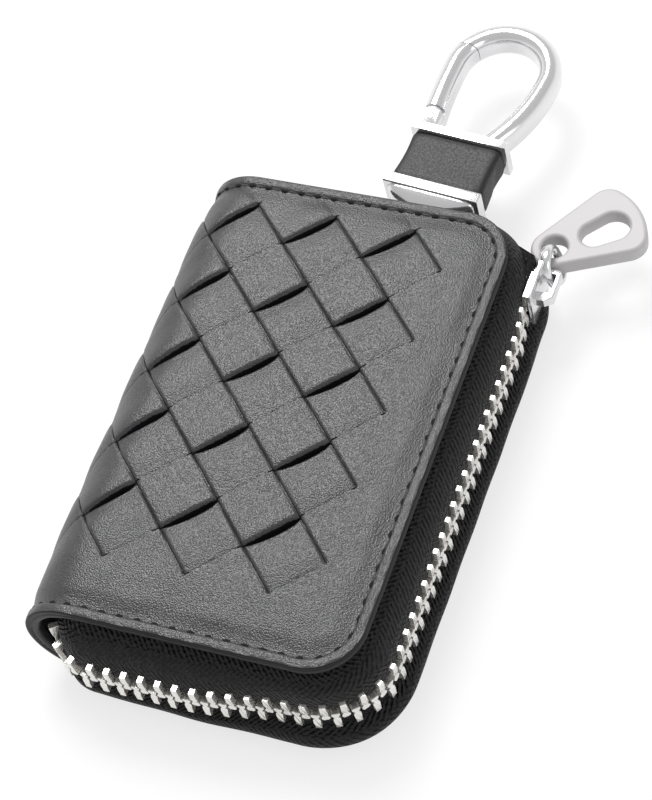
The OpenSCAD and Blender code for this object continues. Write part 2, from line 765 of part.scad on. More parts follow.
// Split ring of two close turns through the tail's eye, resting on the lining
module key_ring() {
    sink = tail_eye_r - (ring_pitch + ring_wire) / 2 - soft_gap;
    color("#c9cbcd") at_hook() translate([0, tail_y(), strap_floor() + tail_eye_r])
        rotate([asin(sink / (2 * ring_r)), 0, 0]) translate([0, -ring_r, 0]) for (s = [-1, 1])
            translate([0, 0, s * ring_pitch / 2]) rotate_extrude() translate([ring_r, 0])
                circle(ring_wire / 2);
}

back_cover();
back_board();
back_lining();
back_strips();
back_tape();
back_teeth();
bottom_stop();
spine_cover();
spine_lining();
spine_strips();
front_fold();
back_fold();
front_cover();
front_board();
front_lining();
front_strips();
front_tape();
front_teeth();
card_pocket();
slider_body();
pull_link();
puller();
hook_frame();
hook_gate();
gate_pin();
gate_spring();
hook_band();
hook_shackle();
swing_pin();
anchor_strap();
strap_rivets();
key_ring();
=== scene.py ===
import math

import bmesh
import bpy
import numpy as np
from mathutils import Matrix, Vector


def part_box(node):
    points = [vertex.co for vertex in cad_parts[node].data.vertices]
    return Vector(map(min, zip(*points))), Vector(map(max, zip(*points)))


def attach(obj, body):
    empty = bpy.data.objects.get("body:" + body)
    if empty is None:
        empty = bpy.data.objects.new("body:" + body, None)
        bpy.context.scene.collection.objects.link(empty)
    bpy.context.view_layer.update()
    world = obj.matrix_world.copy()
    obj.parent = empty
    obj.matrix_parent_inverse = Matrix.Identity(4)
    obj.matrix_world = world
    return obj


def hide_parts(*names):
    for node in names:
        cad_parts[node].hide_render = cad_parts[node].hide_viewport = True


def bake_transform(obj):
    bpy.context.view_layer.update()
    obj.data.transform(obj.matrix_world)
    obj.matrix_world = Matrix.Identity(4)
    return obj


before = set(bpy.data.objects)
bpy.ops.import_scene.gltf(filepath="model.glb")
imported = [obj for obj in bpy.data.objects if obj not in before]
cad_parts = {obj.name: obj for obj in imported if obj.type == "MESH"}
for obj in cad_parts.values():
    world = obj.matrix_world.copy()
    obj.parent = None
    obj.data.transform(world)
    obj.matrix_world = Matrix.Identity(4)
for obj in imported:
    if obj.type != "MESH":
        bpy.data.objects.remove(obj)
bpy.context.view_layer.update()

bl_info = {
    "name": "Woven key case",
    "version": (1, 0, 0),
    "blender": (4, 5, 0),
    "location": "View3D > Sidebar > Key case",
    "description": "Dresses a woven leather key case with its zip, puller and snap hook",
    "category": "Object",
}

MM = 0.001
TURN = 2 * math.pi

# Places taken from the frame
COVER_LOW, COVER_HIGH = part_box("front_cover")
EDGE_X = COVER_HIGH.x
SPINE_X = COVER_LOW.x
END_Y = COVER_HIGH.y
TOP_Z = COVER_HIGH.z
MID_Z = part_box("front_strips")[1].z / 2
SPINE_R = TOP_Z - MID_Z
SPINE_HALF = SPINE_R * math.pi / 2
SHEET_END = SPINE_HALF + EDGE_X - SPINE_X
LINING_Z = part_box("front_lining")[0].z
HOOK_LEAN = math.radians(5.5)
HOOK_AT = Vector((3 * MM, END_Y + 2.7 * MM, MID_Z))


class CaseSizes(bpy.types.PropertyGroup):
    """Sizes of the leather case"""
    corner_r: bpy.props.FloatProperty(
        name="Corner radius", description="Radius of the cover corners",
        default=10.5 * MM, unit="LENGTH")
    weave_pitch: bpy.props.FloatProperty(
        name="Weave pitch", description="Distance from one strip to the next",
        default=11.64 * MM, unit="LENGTH")
    front_column: bpy.props.FloatProperty(
        name="First column", description="Middle of the strip faces nearest the zip side",
        default=7.57 * MM, unit="LENGTH")
    middle_row: bpy.props.FloatProperty(
        name="Middle row", description="Middle of the middle row of strip faces",
        default=3.1 * MM, unit="LENGTH")
    seam_in: bpy.props.FloatProperty(
        name="Seam inset", description="Distance from the cover's edge to its stitches",
        default=2.2 * MM, unit="LENGTH")
    stitch_pitch: bpy.props.FloatProperty(
        name="Stitch pitch", description="Distance from one stitch to the next",
        default=3.5 * MM, unit="LENGTH")
    leather_color: bpy.props.FloatVectorProperty(
        name="Leather", description="Colour of the outer leather", subtype="COLOR",
        default=(0.028, 0.028, 0.03), min=0, max=1)
    edge_color: bpy.props.FloatVectorProperty(
        name="Edge paint", description="Colour of the painted leather edge", subtype="COLOR",
        default=(0.007, 0.007, 0.0073), min=0, max=1)
    thread_color: bpy.props.FloatVectorProperty(
        name="Thread", description="Colour of the sewing thread", subtype="COLOR",
        default=(0.03, 0.03, 0.031), min=0, max=1)
    lining_color: bpy.props.FloatVectorProperty(
        name="Lining", description="Colour of the lining", subtype="COLOR",
        default=(0.016, 0.016, 0.018), min=0, max=1)


class ZipSizes(bpy.types.PropertyGroup):
    """Sizes of the zip"""
    tape_t: bpy.props.FloatProperty(
        name="Tape", description="Thickness of the woven tape",
        default=0.9 * MM, unit="LENGTH")
    tooth_pitch: bpy.props.FloatProperty(
        name="Tooth pitch", description="Pitch of the teeth along one tape",
        default=3.4 * MM, unit="LENGTH")
    tape_color: bpy.props.FloatVectorProperty(
        name="Tape colour", description="Colour of the woven tape", subtype="COLOR",
        default=(0.004, 0.004, 0.0045), min=0, max=1)
    metal_color: bpy.props.FloatVectorProperty(
        name="Teeth", description="Colour of the plated teeth", subtype="COLOR",
        default=(0.84, 0.825, 0.79), min=0, max=1)


class HookSizes(bpy.types.PropertyGroup):
    """Sizes of the hook and the puller"""
    chrome_color: bpy.props.FloatVectorProperty(
        name="Chrome", description="Colour of the polished plating", subtype="COLOR",
        default=(0.78, 0.78, 0.79), min=0, max=1)
    puller_color: bpy.props.FloatVectorProperty(
        name="Puller", description="Colour of the satin puller", subtype="COLOR",
        default=(0.48, 0.467, 0.472), min=0, max=1)
    band_color: bpy.props.FloatVectorProperty(
        name="Band", description="Colour of the hook's leather band", subtype="COLOR",
        default=(0.006, 0.006, 0.0062), min=0, max=1)


def case():
    return bpy.context.scene.case_sizes


def zip_():
    return bpy.context.scene.zip_sizes


def hook():
    return bpy.context.scene.hook_sizes


# Shader building
class Wire:
    """A shader socket; arithmetic on it adds Math nodes"""

    def __init__(self, paint, socket):
        self.paint = paint
        self.socket = socket

    def math(self, operation, other=None, reflected=False):
        pair = (other, self) if reflected else (self, other)
        values = {key: value for key, value in enumerate(pair) if value is not None}
        return self.paint.node("ShaderNodeMath", {"operation": operation}, values)

    def __add__(self, other):
        return self.math("ADD", other)

    def __sub__(self, other):
        return self.math("SUBTRACT", other)

    def __rsub__(self, other):
        return self.math("SUBTRACT", other, True)

    def __mul__(self, other):
        return self.math("MULTIPLY", other)

    def __truediv__(self, other):
        return self.math("DIVIDE", other)

    def __rtruediv__(self, other):
        return self.math("DIVIDE", other, True)

    __radd__ = __add__
    __rmul__ = __mul__


class Paint:
    """A node tree being filled, for a material or the world"""

    def __init__(self, owner):
        owner.use_nodes = True
        self.tree = owner.node_tree
        self.tree.nodes.clear()

    def node(self, kind, settings=None, values=None, out=0):
        made = self.tree.nodes.new(kind)
        for name, value in (settings or {}).items():
            setattr(made, name, value)
        for key, value in (values or {}).items():
            if isinstance(value, Wire):
                self.tree.links.new(value.socket, made.inputs[key])
            else:
                made.inputs[key].default_value = value
        return Wire(self, made.outputs[out]) if made.outputs else None

    def mix(self, factor, first, second):
        """Mixes two colours, given as wires or as RGB"""
        full = [c if isinstance(c, Wire) else (*c, 1) for c in (first, second)]
        return self.node("ShaderNodeMix", {"data_type": "RGBA"},
                         {"Factor": factor, 6: full[0], 7: full[1]}, out=2)

    def shades(self, factor, color, dark, light):
        """Mixes two shades of one colour, each given as a share of it"""
        return self.mix(factor, [c * dark for c in color], [c * light for c in color])

    def place(self):
        return self.node("ShaderNodeTexCoord", out="Object")

    def noise(self, scale, detail=2.0):
        return self.node("ShaderNodeTexNoise", None,
                         {"Vector": self.place(), "Scale": scale, "Detail": detail})

    def cells(self, scale):
        return self.node("ShaderNodeTexVoronoi", None, {"Vector": self.place(), "Scale": scale})

    def bands(self, direction, scale, distortion=0.0):
        return self.node("ShaderNodeTexWave", {"bands_direction": direction},
                         {"Vector": self.place(), "Scale": scale, "Distortion": distortion}, out=1)

    def ray(self, kind):
        return self.node("ShaderNodeLightPath", out="Is " + kind + " Ray")

    def bump(self, height, distance):
        return self.node("ShaderNodeBump", None,
                         {"Height": height, "Distance": distance, "Strength": 1.0})

    def mix_shaders(self, factor, first, second):
        return self.node("ShaderNodeMixShader", None, {0: factor, 1: first, 2: second})

    def principled(self, **values):
        names = {key.replace("_", " ").title(): value for key, value in values.items()}
        if "Index" in names:
            names["IOR"] = names.pop("Index")
        return self.node("ShaderNodeBsdfPrincipled", None, names)

    def output(self, surface, kind="Material"):
        self.node("ShaderNodeOutput" + kind, None, {"Surface": surface})

    def finish(self, **values):
        self.output(self.principled(**values))


MATERIALS = {}


def paint(build):
    """Turns a function that fills a node tree into one that gives its material, made once"""
    def made():
        name = build.__name__
        if name not in MATERIALS:
            MATERIALS[name] = bpy.data.materials.new(name)
            build(Paint(MATERIALS[name]))
        return MATERIALS[name]
    return made


def leather(p, color, roughness, depth, pore_scale, index):
    """Fine-grained leather: pores and creases under a satin coat, with painted shade in the grain's
    hollows and a dark painted-shade shader in the slits
    """
    pores = p.cells(pore_scale)
    creases = p.noise(pore_scale * 0.75, 4)
    grain = creases * 0.8 - pores * 1.1 + p.noise(pore_scale * 0.1, 3) * 0.3
    # Painted shade: the base colour falls to three tenths of the leather colour at the rims of the
    # grain's cells, where the grain lies low; the slow noise gives an uneven tone
    base = p.mix(pores * 1.3 - 0.2, p.shades(p.noise(90), color, 0.85, 1.15),
                 [c * 0.3 for c in color])
    skin = p.principled(base_color=base, roughness=creases * 0.14 + pores * 0.2 + roughness,
                        index=index, normal=p.bump(grain, depth))
    # Painted shade: a near-dark, rough shader with almost no reflection, mixed in by the slit value
    # where the weave has its slits, side lines and nicks
    painted_shade = p.principled(base_color=(0.005, 0.005, 0.006, 1), roughness=0.9, index=1.1)
    slit = p.node("ShaderNodeAttribute", {"attribute_name": "slit"}, out="Fac")
    broken_shade = slit + (p.noise(1300, 3) - 0.5) * 0.5
    shade_share = p.node("ShaderNodeMapRange", None, {"Value": broken_shade, "From Min": 0.3, "From Max": 0.5})
    p.output(p.mix_shaders(shade_share, skin, painted_shade))


@paint
def outer_leather(p):
    leather(p, case().leather_color, 0.18, 0.068 * MM, 3400, 1.65)


@paint
def smooth_leather(p):
    leather(p, hook().band_color, 0.34, 0.012 * MM, 2600, 1.5)


@paint
def edge_paint(p):
    uneven = p.noise(1400, 3)
    p.finish(base_color=p.shades(uneven, case().edge_color, 0.75, 1.3),
             roughness=0.42 + uneven * 0.16, index=1.35, normal=p.bump(uneven, 0.03 * MM))


@paint
def layer_edge(p):
    uneven = p.noise(1800, 3)
    p.finish(base_color=p.mix(uneven, (0.006, 0.006, 0.0065), (0.016, 0.016, 0.017)),
             roughness=0.55, normal=p.bump(uneven, 0.04 * MM))


@paint
def thread(p):
    strands = p.bands("DIAGONAL", 900, 1.0)
    # Painted highlight: the base colour follows the strands' relief, up to three times lighter on
    # their crests
    p.finish(base_color=p.shades(strands, case().thread_color, 1, 3), roughness=0.6,
             normal=p.bump(strands, 0.06 * MM))


# Painted shade: near-dark, rough blobs stand where the thread dips into its needle holes
@paint
def needle_hole_shade(p):
    p.finish(base_color=p.mix(p.noise(2000), (0.0005, 0.0005, 0.0005), (0.003, 0.003, 0.003)),
             roughness=0.9)


@paint
def lining_cloth(p):
    cloth = p.bands("X", 520).math("MAXIMUM", p.bands("Y", 520))
    # Painted shade: the base colour halves between the woven threads, where the relief is low
    p.finish(base_color=p.shades(cloth, case().lining_color, 0.5, 1), roughness=0.85,
             normal=p.bump(cloth, 0.06 * MM))


@paint
def fibre_board(p):
    fibres = p.noise(700, 6)
    p.finish(base_color=p.mix(fibres, (0.05, 0.04, 0.03), (0.12, 0.1, 0.075)), roughness=0.9,
             normal=p.bump(fibres, 0.05 * MM))


HERRINGBONE_WIDTH = 2.4 * MM
HERRINGBONE_RIB = 1.1 * MM


@paint
def zip_tape(p):
    """Herringbone ribs and knots, laid along and across the tape by its cloth map, with painted
    highlight and shade following their relief
    """
    uv = p.node("ShaderNodeUVMap", {"uv_map": "cloth"})
    along, across = [p.node("ShaderNodeSeparateXYZ", None, {0: uv}, out=k) for k in (0, 1)]
    fold = (across / HERRINGBONE_WIDTH).math("PINGPONG", 1.0)
    rib = ((along / HERRINGBONE_RIB + fold * 2.2) * TURN).math("SINE") * 0.5 + 0.5
    cloth = rib * 0.85 - p.cells(1250) * 1.5 + p.noise(2400) * 0.5
    # Painted highlight and shade: the base colour follows the cloth's relief, from a tenth to three
    # times the tape colour, lighter on the ribs and darker in the knots
    p.finish(base_color=p.shades(cloth * 0.8 + 0.25, zip_().tape_color, 0.1, 3),
             roughness=0.54, index=1.4, normal=p.bump(cloth, 0.5 * MM))


def plating(p, color, roughness, metallic, depth=0.004 * MM, scale=1500):
    """Plated metal with faint smears"""
    smear = p.noise(scale, 3)
    p.finish(base_color=p.shades(smear, color, 0.96, 1), metallic=metallic,
             roughness=smear * 0.06 + roughness, normal=p.bump(smear, depth))


@paint
def chrome(p):
    plating(p, hook().chrome_color, 0.12, 0.85)


@paint
def zip_metal(p):
    plating(p, zip_().metal_color, 0.22, 0.75, 0.01 * MM, 3000)


@paint
def steel(p):
    plating(p, (0.6, 0.6, 0.61), 0.22, 1.0)


@paint
def satin_metal(p):
    grain = p.noise(4000, 3)
    p.finish(base_color=p.shades(p.noise(160, 3), hook().puller_color, 0.92, 1), metallic=0.15,
             roughness=grain * 0.08 + 0.5, normal=p.bump(grain, 0.01 * MM))


# Mesh building
def linked(name, data):
    """A new object in the scene"""
    made = bpy.data.objects.new(name, data)
    bpy.context.scene.collection.objects.link(made)
    return made


def piece(name, verts, faces, paints, indices=None, smooth=True, values=None, cloth=None):
    """Makes a mesh object from lists or arrays, with an optional slit value, the share of painted
    shade, at each point
    """
    mesh = bpy.data.meshes.new(name)
    mesh.from_pydata([tuple(v) for v in verts], [], [tuple(f) for f in faces])
    for made in paints:
        mesh.materials.append(made)
    if indices is not None:
        mesh.polygons.foreach_set("material_index", indices)
    mesh.polygons.foreach_set("use_smooth", [smooth] * len(mesh.polygons))
    # The slit attribute carries the share of painted shade for the leather shader
    if values is not None:
        mesh.attributes.new("slit", "FLOAT", "POINT").data.foreach_set("value", values)
    if cloth is not None:
        layer = mesh.uv_layers.new(name="cloth")
        for loop in mesh.loops:
            layer.data[loop.index].uv = cloth[loop.vertex_index]
    mesh.validate()
    mesh.update()
    return linked(name, mesh)


def edited(made, *changes):
    """Runs changes on an object's mesh"""
    cage = bmesh.new()
    cage.from_mesh(made.data)
    for change in changes:
        change(cage)
    cage.to_mesh(made.data)
    cage.free()
    return made


def outward(made):
    """Turns a closed mesh's faces outwards"""
    return edited(made, lambda cage: bmesh.ops.recalc_face_normals(cage, faces=cage.faces))


def soft_edges(made, width, segments, angle, harden):
    """Rounds the edges that are sharper than an angle in degrees"""
    bevel = made.modifiers.new("edges", "BEVEL")
    bevel.width = width
    bevel.segments = segments
    bevel.limit_method = "ANGLE"
    bevel.angle_limit = math.radians(angle)
    bevel.harden_normals = harden


def dressed(made, slot, body, *nodes):
    """Hides the frame nodes that a finished piece stands for and gives the piece its body; the slot
    is not used
    """
    if nodes:
        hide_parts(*nodes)
    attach(made, body)


def smooth(t):
    t = np.clip(t, 0, 1)
    return t * t * (3 - 2 * t)


def towards(a):
    """Unit vector at a turn"""
    return Vector((math.cos(a), math.sin(a)))


def squared(a, power):
    """Point at a turn on the outline of a rounded square with half sides of 1"""
    return [math.copysign(abs(part) ** power, part) for part in (math.cos(a), math.sin(a))]


def curve_through(points, steps=6):
    """Smooth open curve through points"""
    pts = [np.array(p, float) for p in points]
    pts = [2 * pts[0] - pts[1]] + pts + [2 * pts[-1] - pts[-2]]
    made = []
    for a, b, c, d in zip(pts, pts[1:], pts[2:], pts[3:]):
        for k in range(steps):
            t = k / steps
            made.append(0.5 * (2 * b + (c - a) * t + (2 * a - 5 * b + 4 * c - d) * t ** 2
                               + (3 * b - 3 * c + d - a) * t ** 3))
    made.append(pts[-2])
    return made


def loft(rings, closed_ring=True, caps=True):
    """Vertices and faces of a skin through rings of equal length"""
    n = len(rings[0])
    verts = [p for ring in rings for p in ring]
    faces = []
    for i in range(len(rings) - 1):
        for j in range(n if closed_ring else n - 1):
            k = (j + 1) % n
            faces.append((i * n + j, i * n + k, (i + 1) * n + k, (i + 1) * n + j))
    if caps:
        faces.append(tuple(range(n))[::-1])
        faces.append(tuple(range((len(rings) - 1) * n, len(rings) * n)))
    return verts, faces


# The leather sheet: u runs from the spine's middle towards the zip side, on either half
def shell(u, y, h, side):
    """Point at height h over the outer leather surface"""
    u = np.asarray(u, float)
    angle = np.minimum(u, SPINE_HALF) / SPINE_R
    flat = np.maximum(u - SPINE_HALF, 0)
    x = SPINE_X - (SPINE_R + h) * np.cos(angle) + flat
    z = MID_Z + side * (SPINE_R + h) * np.sin(angle)
    return np.stack(np.broadcast_arrays(x, y, z), -1)


def depth_inside(u, y):
    """Distance from the sheet's sewn edge"""
    r = case().corner_r
    du = np.asarray(u) - (SHEET_END - r)
    dy = np.abs(y) - (END_Y - r)
    corner = r - np.hypot(du, dy)
    straight = np.minimum(SHEET_END - u, END_Y - np.abs(y))
    return np.where((du > 0) & (dy > 0), corner, straight)


# The weave. Every share is of one cell: a strip comes out of an open slit at the cell's start,
# and goes under the next band at its end
WEAVE_ROWS = 5
WEAVE_COLUMNS = 7
GAP_SHARE = 0.086
GAP_DEPTH = 1.0 * MM
LIP_SHARE = 0.025
STRIP_LOW = -0.3 * MM
STRIP_HIGH = 0.3 * MM
RISE_SHARE = 0.42
FALL_SHARE = 0.3
STRIP_FALL = 0.25 * MM
STRIP_CROWN = 0.1 * MM
BAND_LIFT = 0.36 * MM
BAND_FALL = 0.3 * MM
SIDE_DEPTH = 0.3 * MM
SIDE_SHARE = 0.03
SIDE_SOFT = 0.05 * MM
SIDE_SOFT_SHARE = 0.1
SIDE_LINE_SHARE = 0.006
END_LINE_DEPTH = 0.05 * MM
NICK_SHARE = 0.012
# How much painted shade the side lines, the end lines and the nicks of the strips get
SIDE_SHADE, END_SHADE, NICK_SHADE = 0.75, 0.3, 0.7
TIE = 1e-5


def is_face(m, n):
    """True where the cell shows a strip that lies over a band"""
    column = -(m + n) / 2
    row = (n - m) / 2 + (WEAVE_ROWS - 1) / 2
    whole = (m + n) % 2 == 0
    return whole & (column >= 0) & (column < WEAVE_COLUMNS) & (row >= 0) & (row < WEAVE_ROWS)


def weave_relief(x, y):
    """Height and slit value of the woven panel, the slit value being the share of painted shade in
    its slits, side lines and nicks; x runs on round the spine
    """
    c = case()
    p = ((x - c.front_column) - (y - c.middle_row)) / math.sqrt(2) / c.weave_pitch
    q = ((x - c.front_column) + (y - c.middle_row)) / math.sqrt(2) / c.weave_pitch
    m, n = np.floor(p + 0.5 + TIE), np.floor(q + 0.5 + TIE)
    a, b = p - m, q - n
    face = is_face(m, n)
    bow = np.where(b > 0, 1 - np.abs(2 * b) ** 4.5, 1 - np.abs(2 * b) ** 1.8)
    bow = np.maximum(bow, 0)
    t = a + 0.5
    gap = GAP_SHARE * bow
    into = 1 - smooth((t - gap) / LIP_SHARE)
    rise = smooth((t - gap * 0.5) / RISE_SHARE)
    fall = smooth((t - 1 + FALL_SHARE) / FALL_SHARE)
    strip = STRIP_LOW + (STRIP_HIGH - STRIP_LOW) * rise - STRIP_FALL * fall
    strip = strip - STRIP_CROWN * np.abs(2 * b) ** 5 - GAP_DEPTH * into * bow ** 0.5
    height = np.where(face, strip, 0.0)
    # Painted shade fills the open slit where a strip comes out
    slit = np.where(face, into, 0.0)
    before_gap = is_face(m + 1, n) & ~face
    lift = BAND_LIFT * smooth((a + 0.12) / 0.5) * bow - BAND_FALL * smooth((a - 0.42) / 0.08) ** 2
    height = height + np.where(before_gap, lift, 0)
    sides = is_face(m, n + np.sign(b)) | face
    side_gap = 0.5 - np.abs(b)
    dip = SIDE_DEPTH * (1 - smooth(side_gap / SIDE_SHARE))
    dip = dip + SIDE_SOFT * (1 - smooth(side_gap / SIDE_SOFT_SHARE))
    height = height - np.where(sides, dip, 0)
    # Painted shade in the fine lines along the strips' sides
    slit = np.where(sides & (side_gap < SIDE_LINE_SHARE), np.maximum(slit, SIDE_SHADE), slit)
    end_line = (face & (t > 0.98)) | (is_face(m - 1, n) & ~face & (t < 0.012))
    height = np.where(end_line, height - END_LINE_DEPTH, height)
    # Painted shade in the line where a strip goes under the next band
    slit = np.where(end_line, np.maximum(slit, END_SHADE), slit)
    near_face = face | before_gap | is_face(m, n - 1) | is_face(m, n + 1)
    # Painted shade in the nicks at the cells' corners
    nick = near_face & (np.abs(np.abs(a) - 0.5) < NICK_SHARE) & (np.abs(b) > 0.4)
    slit = np.where(nick, NICK_SHADE, slit)
    return height, slit


def slow_wave(x, y):
    """Slight unevenness of hand-laid leather"""
    return 0.07 * MM * (np.sin(x * 290 + 1.3) * np.sin(y * 240 + 0.4)
                        + 0.6 * np.sin(x * 510 - y * 430 + 2.1))


SEAM_DIP = 0.5 * MM
SEAM_RUN = 4.2 * MM
PUFF = 0.42 * MM
PUFF_RUN = 11 * MM
BACK_PUFF_SHARE = 0.4
REST_HEIGHT = 2 * MID_Z - TOP_Z
BURIED_FROM = 0.6 * MM
BURIED_HEIGHT = -1.0 * MM


def sheet_height(u, y, side):
    """Height and slit value, the share of painted shade, of the leather between the seam's dip and
    the padded middle
    """
    x = SPINE_X - SPINE_HALF + side * u
    inset = depth_inside(u, y)
    edge = smooth((inset - case().seam_in) / SEAM_RUN)
    woven, slit = weave_relief(x, y)
    puff = PUFF * smooth((inset - case().seam_in) / PUFF_RUN)
    height = -SEAM_DIP * (1 - edge) + puff + slow_wave(x, y) * edge + woven
    if side < 0:
        height = np.minimum(height - (1 - BACK_PUFF_SHARE) * puff, REST_HEIGHT)
    buried = inset < case().seam_in - BURIED_FROM
    return np.where(buried, BURIED_HEIGHT, height), slit


# Shares of a weave cell at which the sheet is sampled, across and along a slit
ACROSS_SLIT = [0, 0.01, 0.03, 0.055, 0.08, 0.1, 0.115, 0.14, 0.17, 0.22, 0.29, 0.36, 0.43, 0.5, 0.57,
               0.64, 0.71, 0.78, 0.85, 0.91, 0.95, 0.985]
ALONG_SLIT = [0, 0.01, 0.03, 0.06, 0.1, 0.15, 0.22, 0.29, 0.36, 0.43, 0.5, 0.57, 0.64, 0.71, 0.78,
              0.85, 0.9, 0.94, 0.97, 0.99]


def leather_sheet(name, side):
    """One half of the leather, from the spine's middle to the seam"""
    c = case()
    start = SPINE_X - SPINE_HALF
    reach = c.weave_pitch / math.sqrt(2)
    cells = range(math.floor((start - SHEET_END - END_Y) / reach / 2) - 1,
                  math.ceil((EDGE_X + END_Y) / reach / 2) + 1)
    p, q = np.meshgrid([k - 0.5 + t for k in cells for t in ACROSS_SLIT],
                       [k - 0.5 + t for k in cells for t in ALONG_SLIT], indexing="ij")
    u = side * (c.front_column + (p + q) * reach - start)
    y = c.middle_row + (q - p) * reach
    height, slit = sheet_height(u, y, side)
    verts = shell(u, y, height, side).reshape(-1, 3)
    index = np.arange(u.size).reshape(u.shape)
    corners = [(slice(None, -1), slice(None, -1)), (slice(1, None), slice(None, -1)),
               (slice(1, None), slice(1, None)), (slice(None, -1), slice(1, None))]
    inside = (depth_inside(u, y) > c.seam_in - 1.5 * MM) & (np.abs(y) < END_Y)
    whole = np.all([inside[k] for k in corners], 0) & (sum(u[k] for k in corners) > 0)
    quads = np.stack([index[k][whole] for k in corners], -1)
    used = np.unique(quads)
    back = np.zeros(u.size, int)
    back[used] = np.arange(len(used))
    # The slit value goes on as a point attribute: the share of painted shade in the leather
    return piece(name, verts[used], back[quads], [outer_leather()],
                 values=slit.reshape(-1)[used])


def edge_path(step):
    """Points along the sewn edge and the way in from each, from one end of the spine to the other"""
    r = case().corner_r
    cu, cy = SHEET_END - r, END_Y - r
    end_steps = int(cu / step)
    runs = [((cu * k / end_steps, END_Y), (0, -1)) for k in range(end_steps + 1)]
    turns = max(6, int(r * math.pi / 2 / step))
    for k in range(1, turns + 1):
        c, s = towards(math.pi / 2 * (1 - k / turns))
        runs.append(((cu + r * c, cy + r * s), (-c, -s)))
    one_end = runs[:]
    side_steps = int(2 * cy / step)
    for k in range(1, side_steps):
        runs.append(((SHEET_END, cy - 2 * cy * k / side_steps), (-1, 0)))
    return runs + [((u, -y), (nu, -ny)) for (u, y), (nu, ny) in reversed(one_end)]


def run_lengths(points):
    """Distance along a line to each of its points"""
    return np.concatenate([[0], np.cumsum([np.hypot(*(b - a)) for a, b in zip(points, points[1:])])])


# Section of the cover's rim: distance in from the edge and height, in millimetres
RIM_TOP = [(2.75, -0.95), (2.5, -0.6), (2.25, -0.36), (2.0, -0.14), (1.75, -0.02), (1.3, 0.03),
           (0.8, 0.03), (0.42, 0.0), (0.26, -0.05)]
RIM_PAINT = [(0.12, -0.14), (0.05, -0.26), (0.04, -0.5), (0.08, -0.86), (0.16, -1.04)]
RIM_GROOVE = [(0.42, -1.12), (0.44, -1.3)]
RIM_LAYER = [(0.22, -1.4), (0.14, -1.7), (0.16, -2.1), (0.34, -2.5), (0.9, -2.68), (1.8, -2.7)]


def cover_rim(name, side):
    """The rolled and painted edge of one half, outside its seam"""
    section = RIM_TOP + RIM_PAINT + RIM_GROOVE + RIM_LAYER
    kinds = [0] * (len(RIM_TOP) - 1) + [1] * len(RIM_PAINT) + [3] * len(RIM_GROOVE)
    kinds += [2] * len(RIM_LAYER)
    rings = []
    for k, ((u, y), (nu, ny)) in enumerate(edge_path(0.7 * MM)):
        wave = 0.05 * math.sin(k * 0.9) + 0.04 * math.sin(k * 0.37 + 1)
        rings.append([shell(u + nu * d * MM, y + ny * d * MM, (h + wave * (d > 0.3)) * MM, side)
                      for d, h in section])
    verts, faces = loft(rings, closed_ring=False, caps=False)
    if side > 0:
        faces = [f[::-1] for f in faces]
    return piece(name, verts, faces, [outer_leather(), edge_paint(), layer_edge(), thread()],
                 indices=kinds * (len(rings) - 1))


# Half length, half width and half thickness of a stitch's thread and of a needle hole, which is a
# near-dark blob of painted shade
STITCH = (1.2 * MM, 0.22 * MM, 0.22 * MM)
HOLE = (0.72 * MM, 0.45 * MM, 0.16 * MM)
STITCH_HEIGHT = -0.42 * MM
STITCH_SINK = 0.3 * MM
HOLE_HEIGHT = -0.3 * MM


def cover_stitches(name, side):
    """Thread that shows between the holes of the seam, with a near-dark blob of painted shade in
    each hole
    """
    places = np.array([np.array(p) + np.array(n) * case().seam_in for p, n in edge_path(0.25 * MM)])
    lengths = run_lengths(places)
    count = int(lengths[-1] / case().stitch_pitch)
    pitch = lengths[-1] / count

    def at(s):
        return Vector([np.interp(s, lengths, places[:, k]) for k in (0, 1)])

    verts, faces, paints = [], [], []
    for k in range(2 * count):
        half, wide, thick = HOLE if k % 2 else STITCH
        rings = []
        for t in (-1, -0.85, -0.45, 0, 0.45, 0.85, 1):
            s = (k / 2 + 0.5) * pitch + t * half
            spot = at(s)
            cross = (at(s + 0.1 * MM) - spot).normalized().orthogonal()
            taper = math.sqrt(1 - 0.96 * t * t)
            height = HOLE_HEIGHT if k % 2 else STITCH_HEIGHT - STITCH_SINK * t ** 4
            ring = []
            for j in range(8):
                around = towards(TURN * j / 8) * taper
                u, y = spot + cross * (wide * around.x)
                ring.append(shell(u, y, height + thick * around.y, side))
            rings.append(ring)
        more, quads = loft(rings)
        faces += [[v + len(verts) for v in f] for f in quads]
        paints += [k % 2] * len(quads)
        verts += more
    return outward(piece(name, verts, faces, [thread(), needle_hole_shade()], indices=paints))


def over_spine(made, side, slot, *nodes):
    """Bakes the transform of a piece of one half into its mesh and hides the frame nodes that it
    stands for; side and slot are not used
    """
    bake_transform(made)
    if nodes:
        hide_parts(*nodes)


class KEYCASE_OT_leather(bpy.types.Operator):
    """Makes the woven leather with its rim and its stitches"""
    bl_idname = "keycase.leather"
    bl_label = "Woven leather"

    def execute(self, context):
        over_spine(leather_sheet("front_leather", 1), 1, "outer_leather",
                   "front_cover", "front_strips", "front_fold", "spine_strips")
        over_spine(leather_sheet("back_leather", -1), -1, "outer_leather",
                   "back_cover", "back_strips", "back_fold", "spine_cover")
        over_spine(cover_rim("front_rim", 1), 1, "outer_leather")
        over_spine(cover_rim("back_rim", -1), -1, "outer_leather")
        over_spine(cover_stitches("front_stitches", 1), 1, "outer_leather")
        over_spine(cover_stitches("back_stitches", -1), -1, "outer_leather")
        return {"FINISHED"}


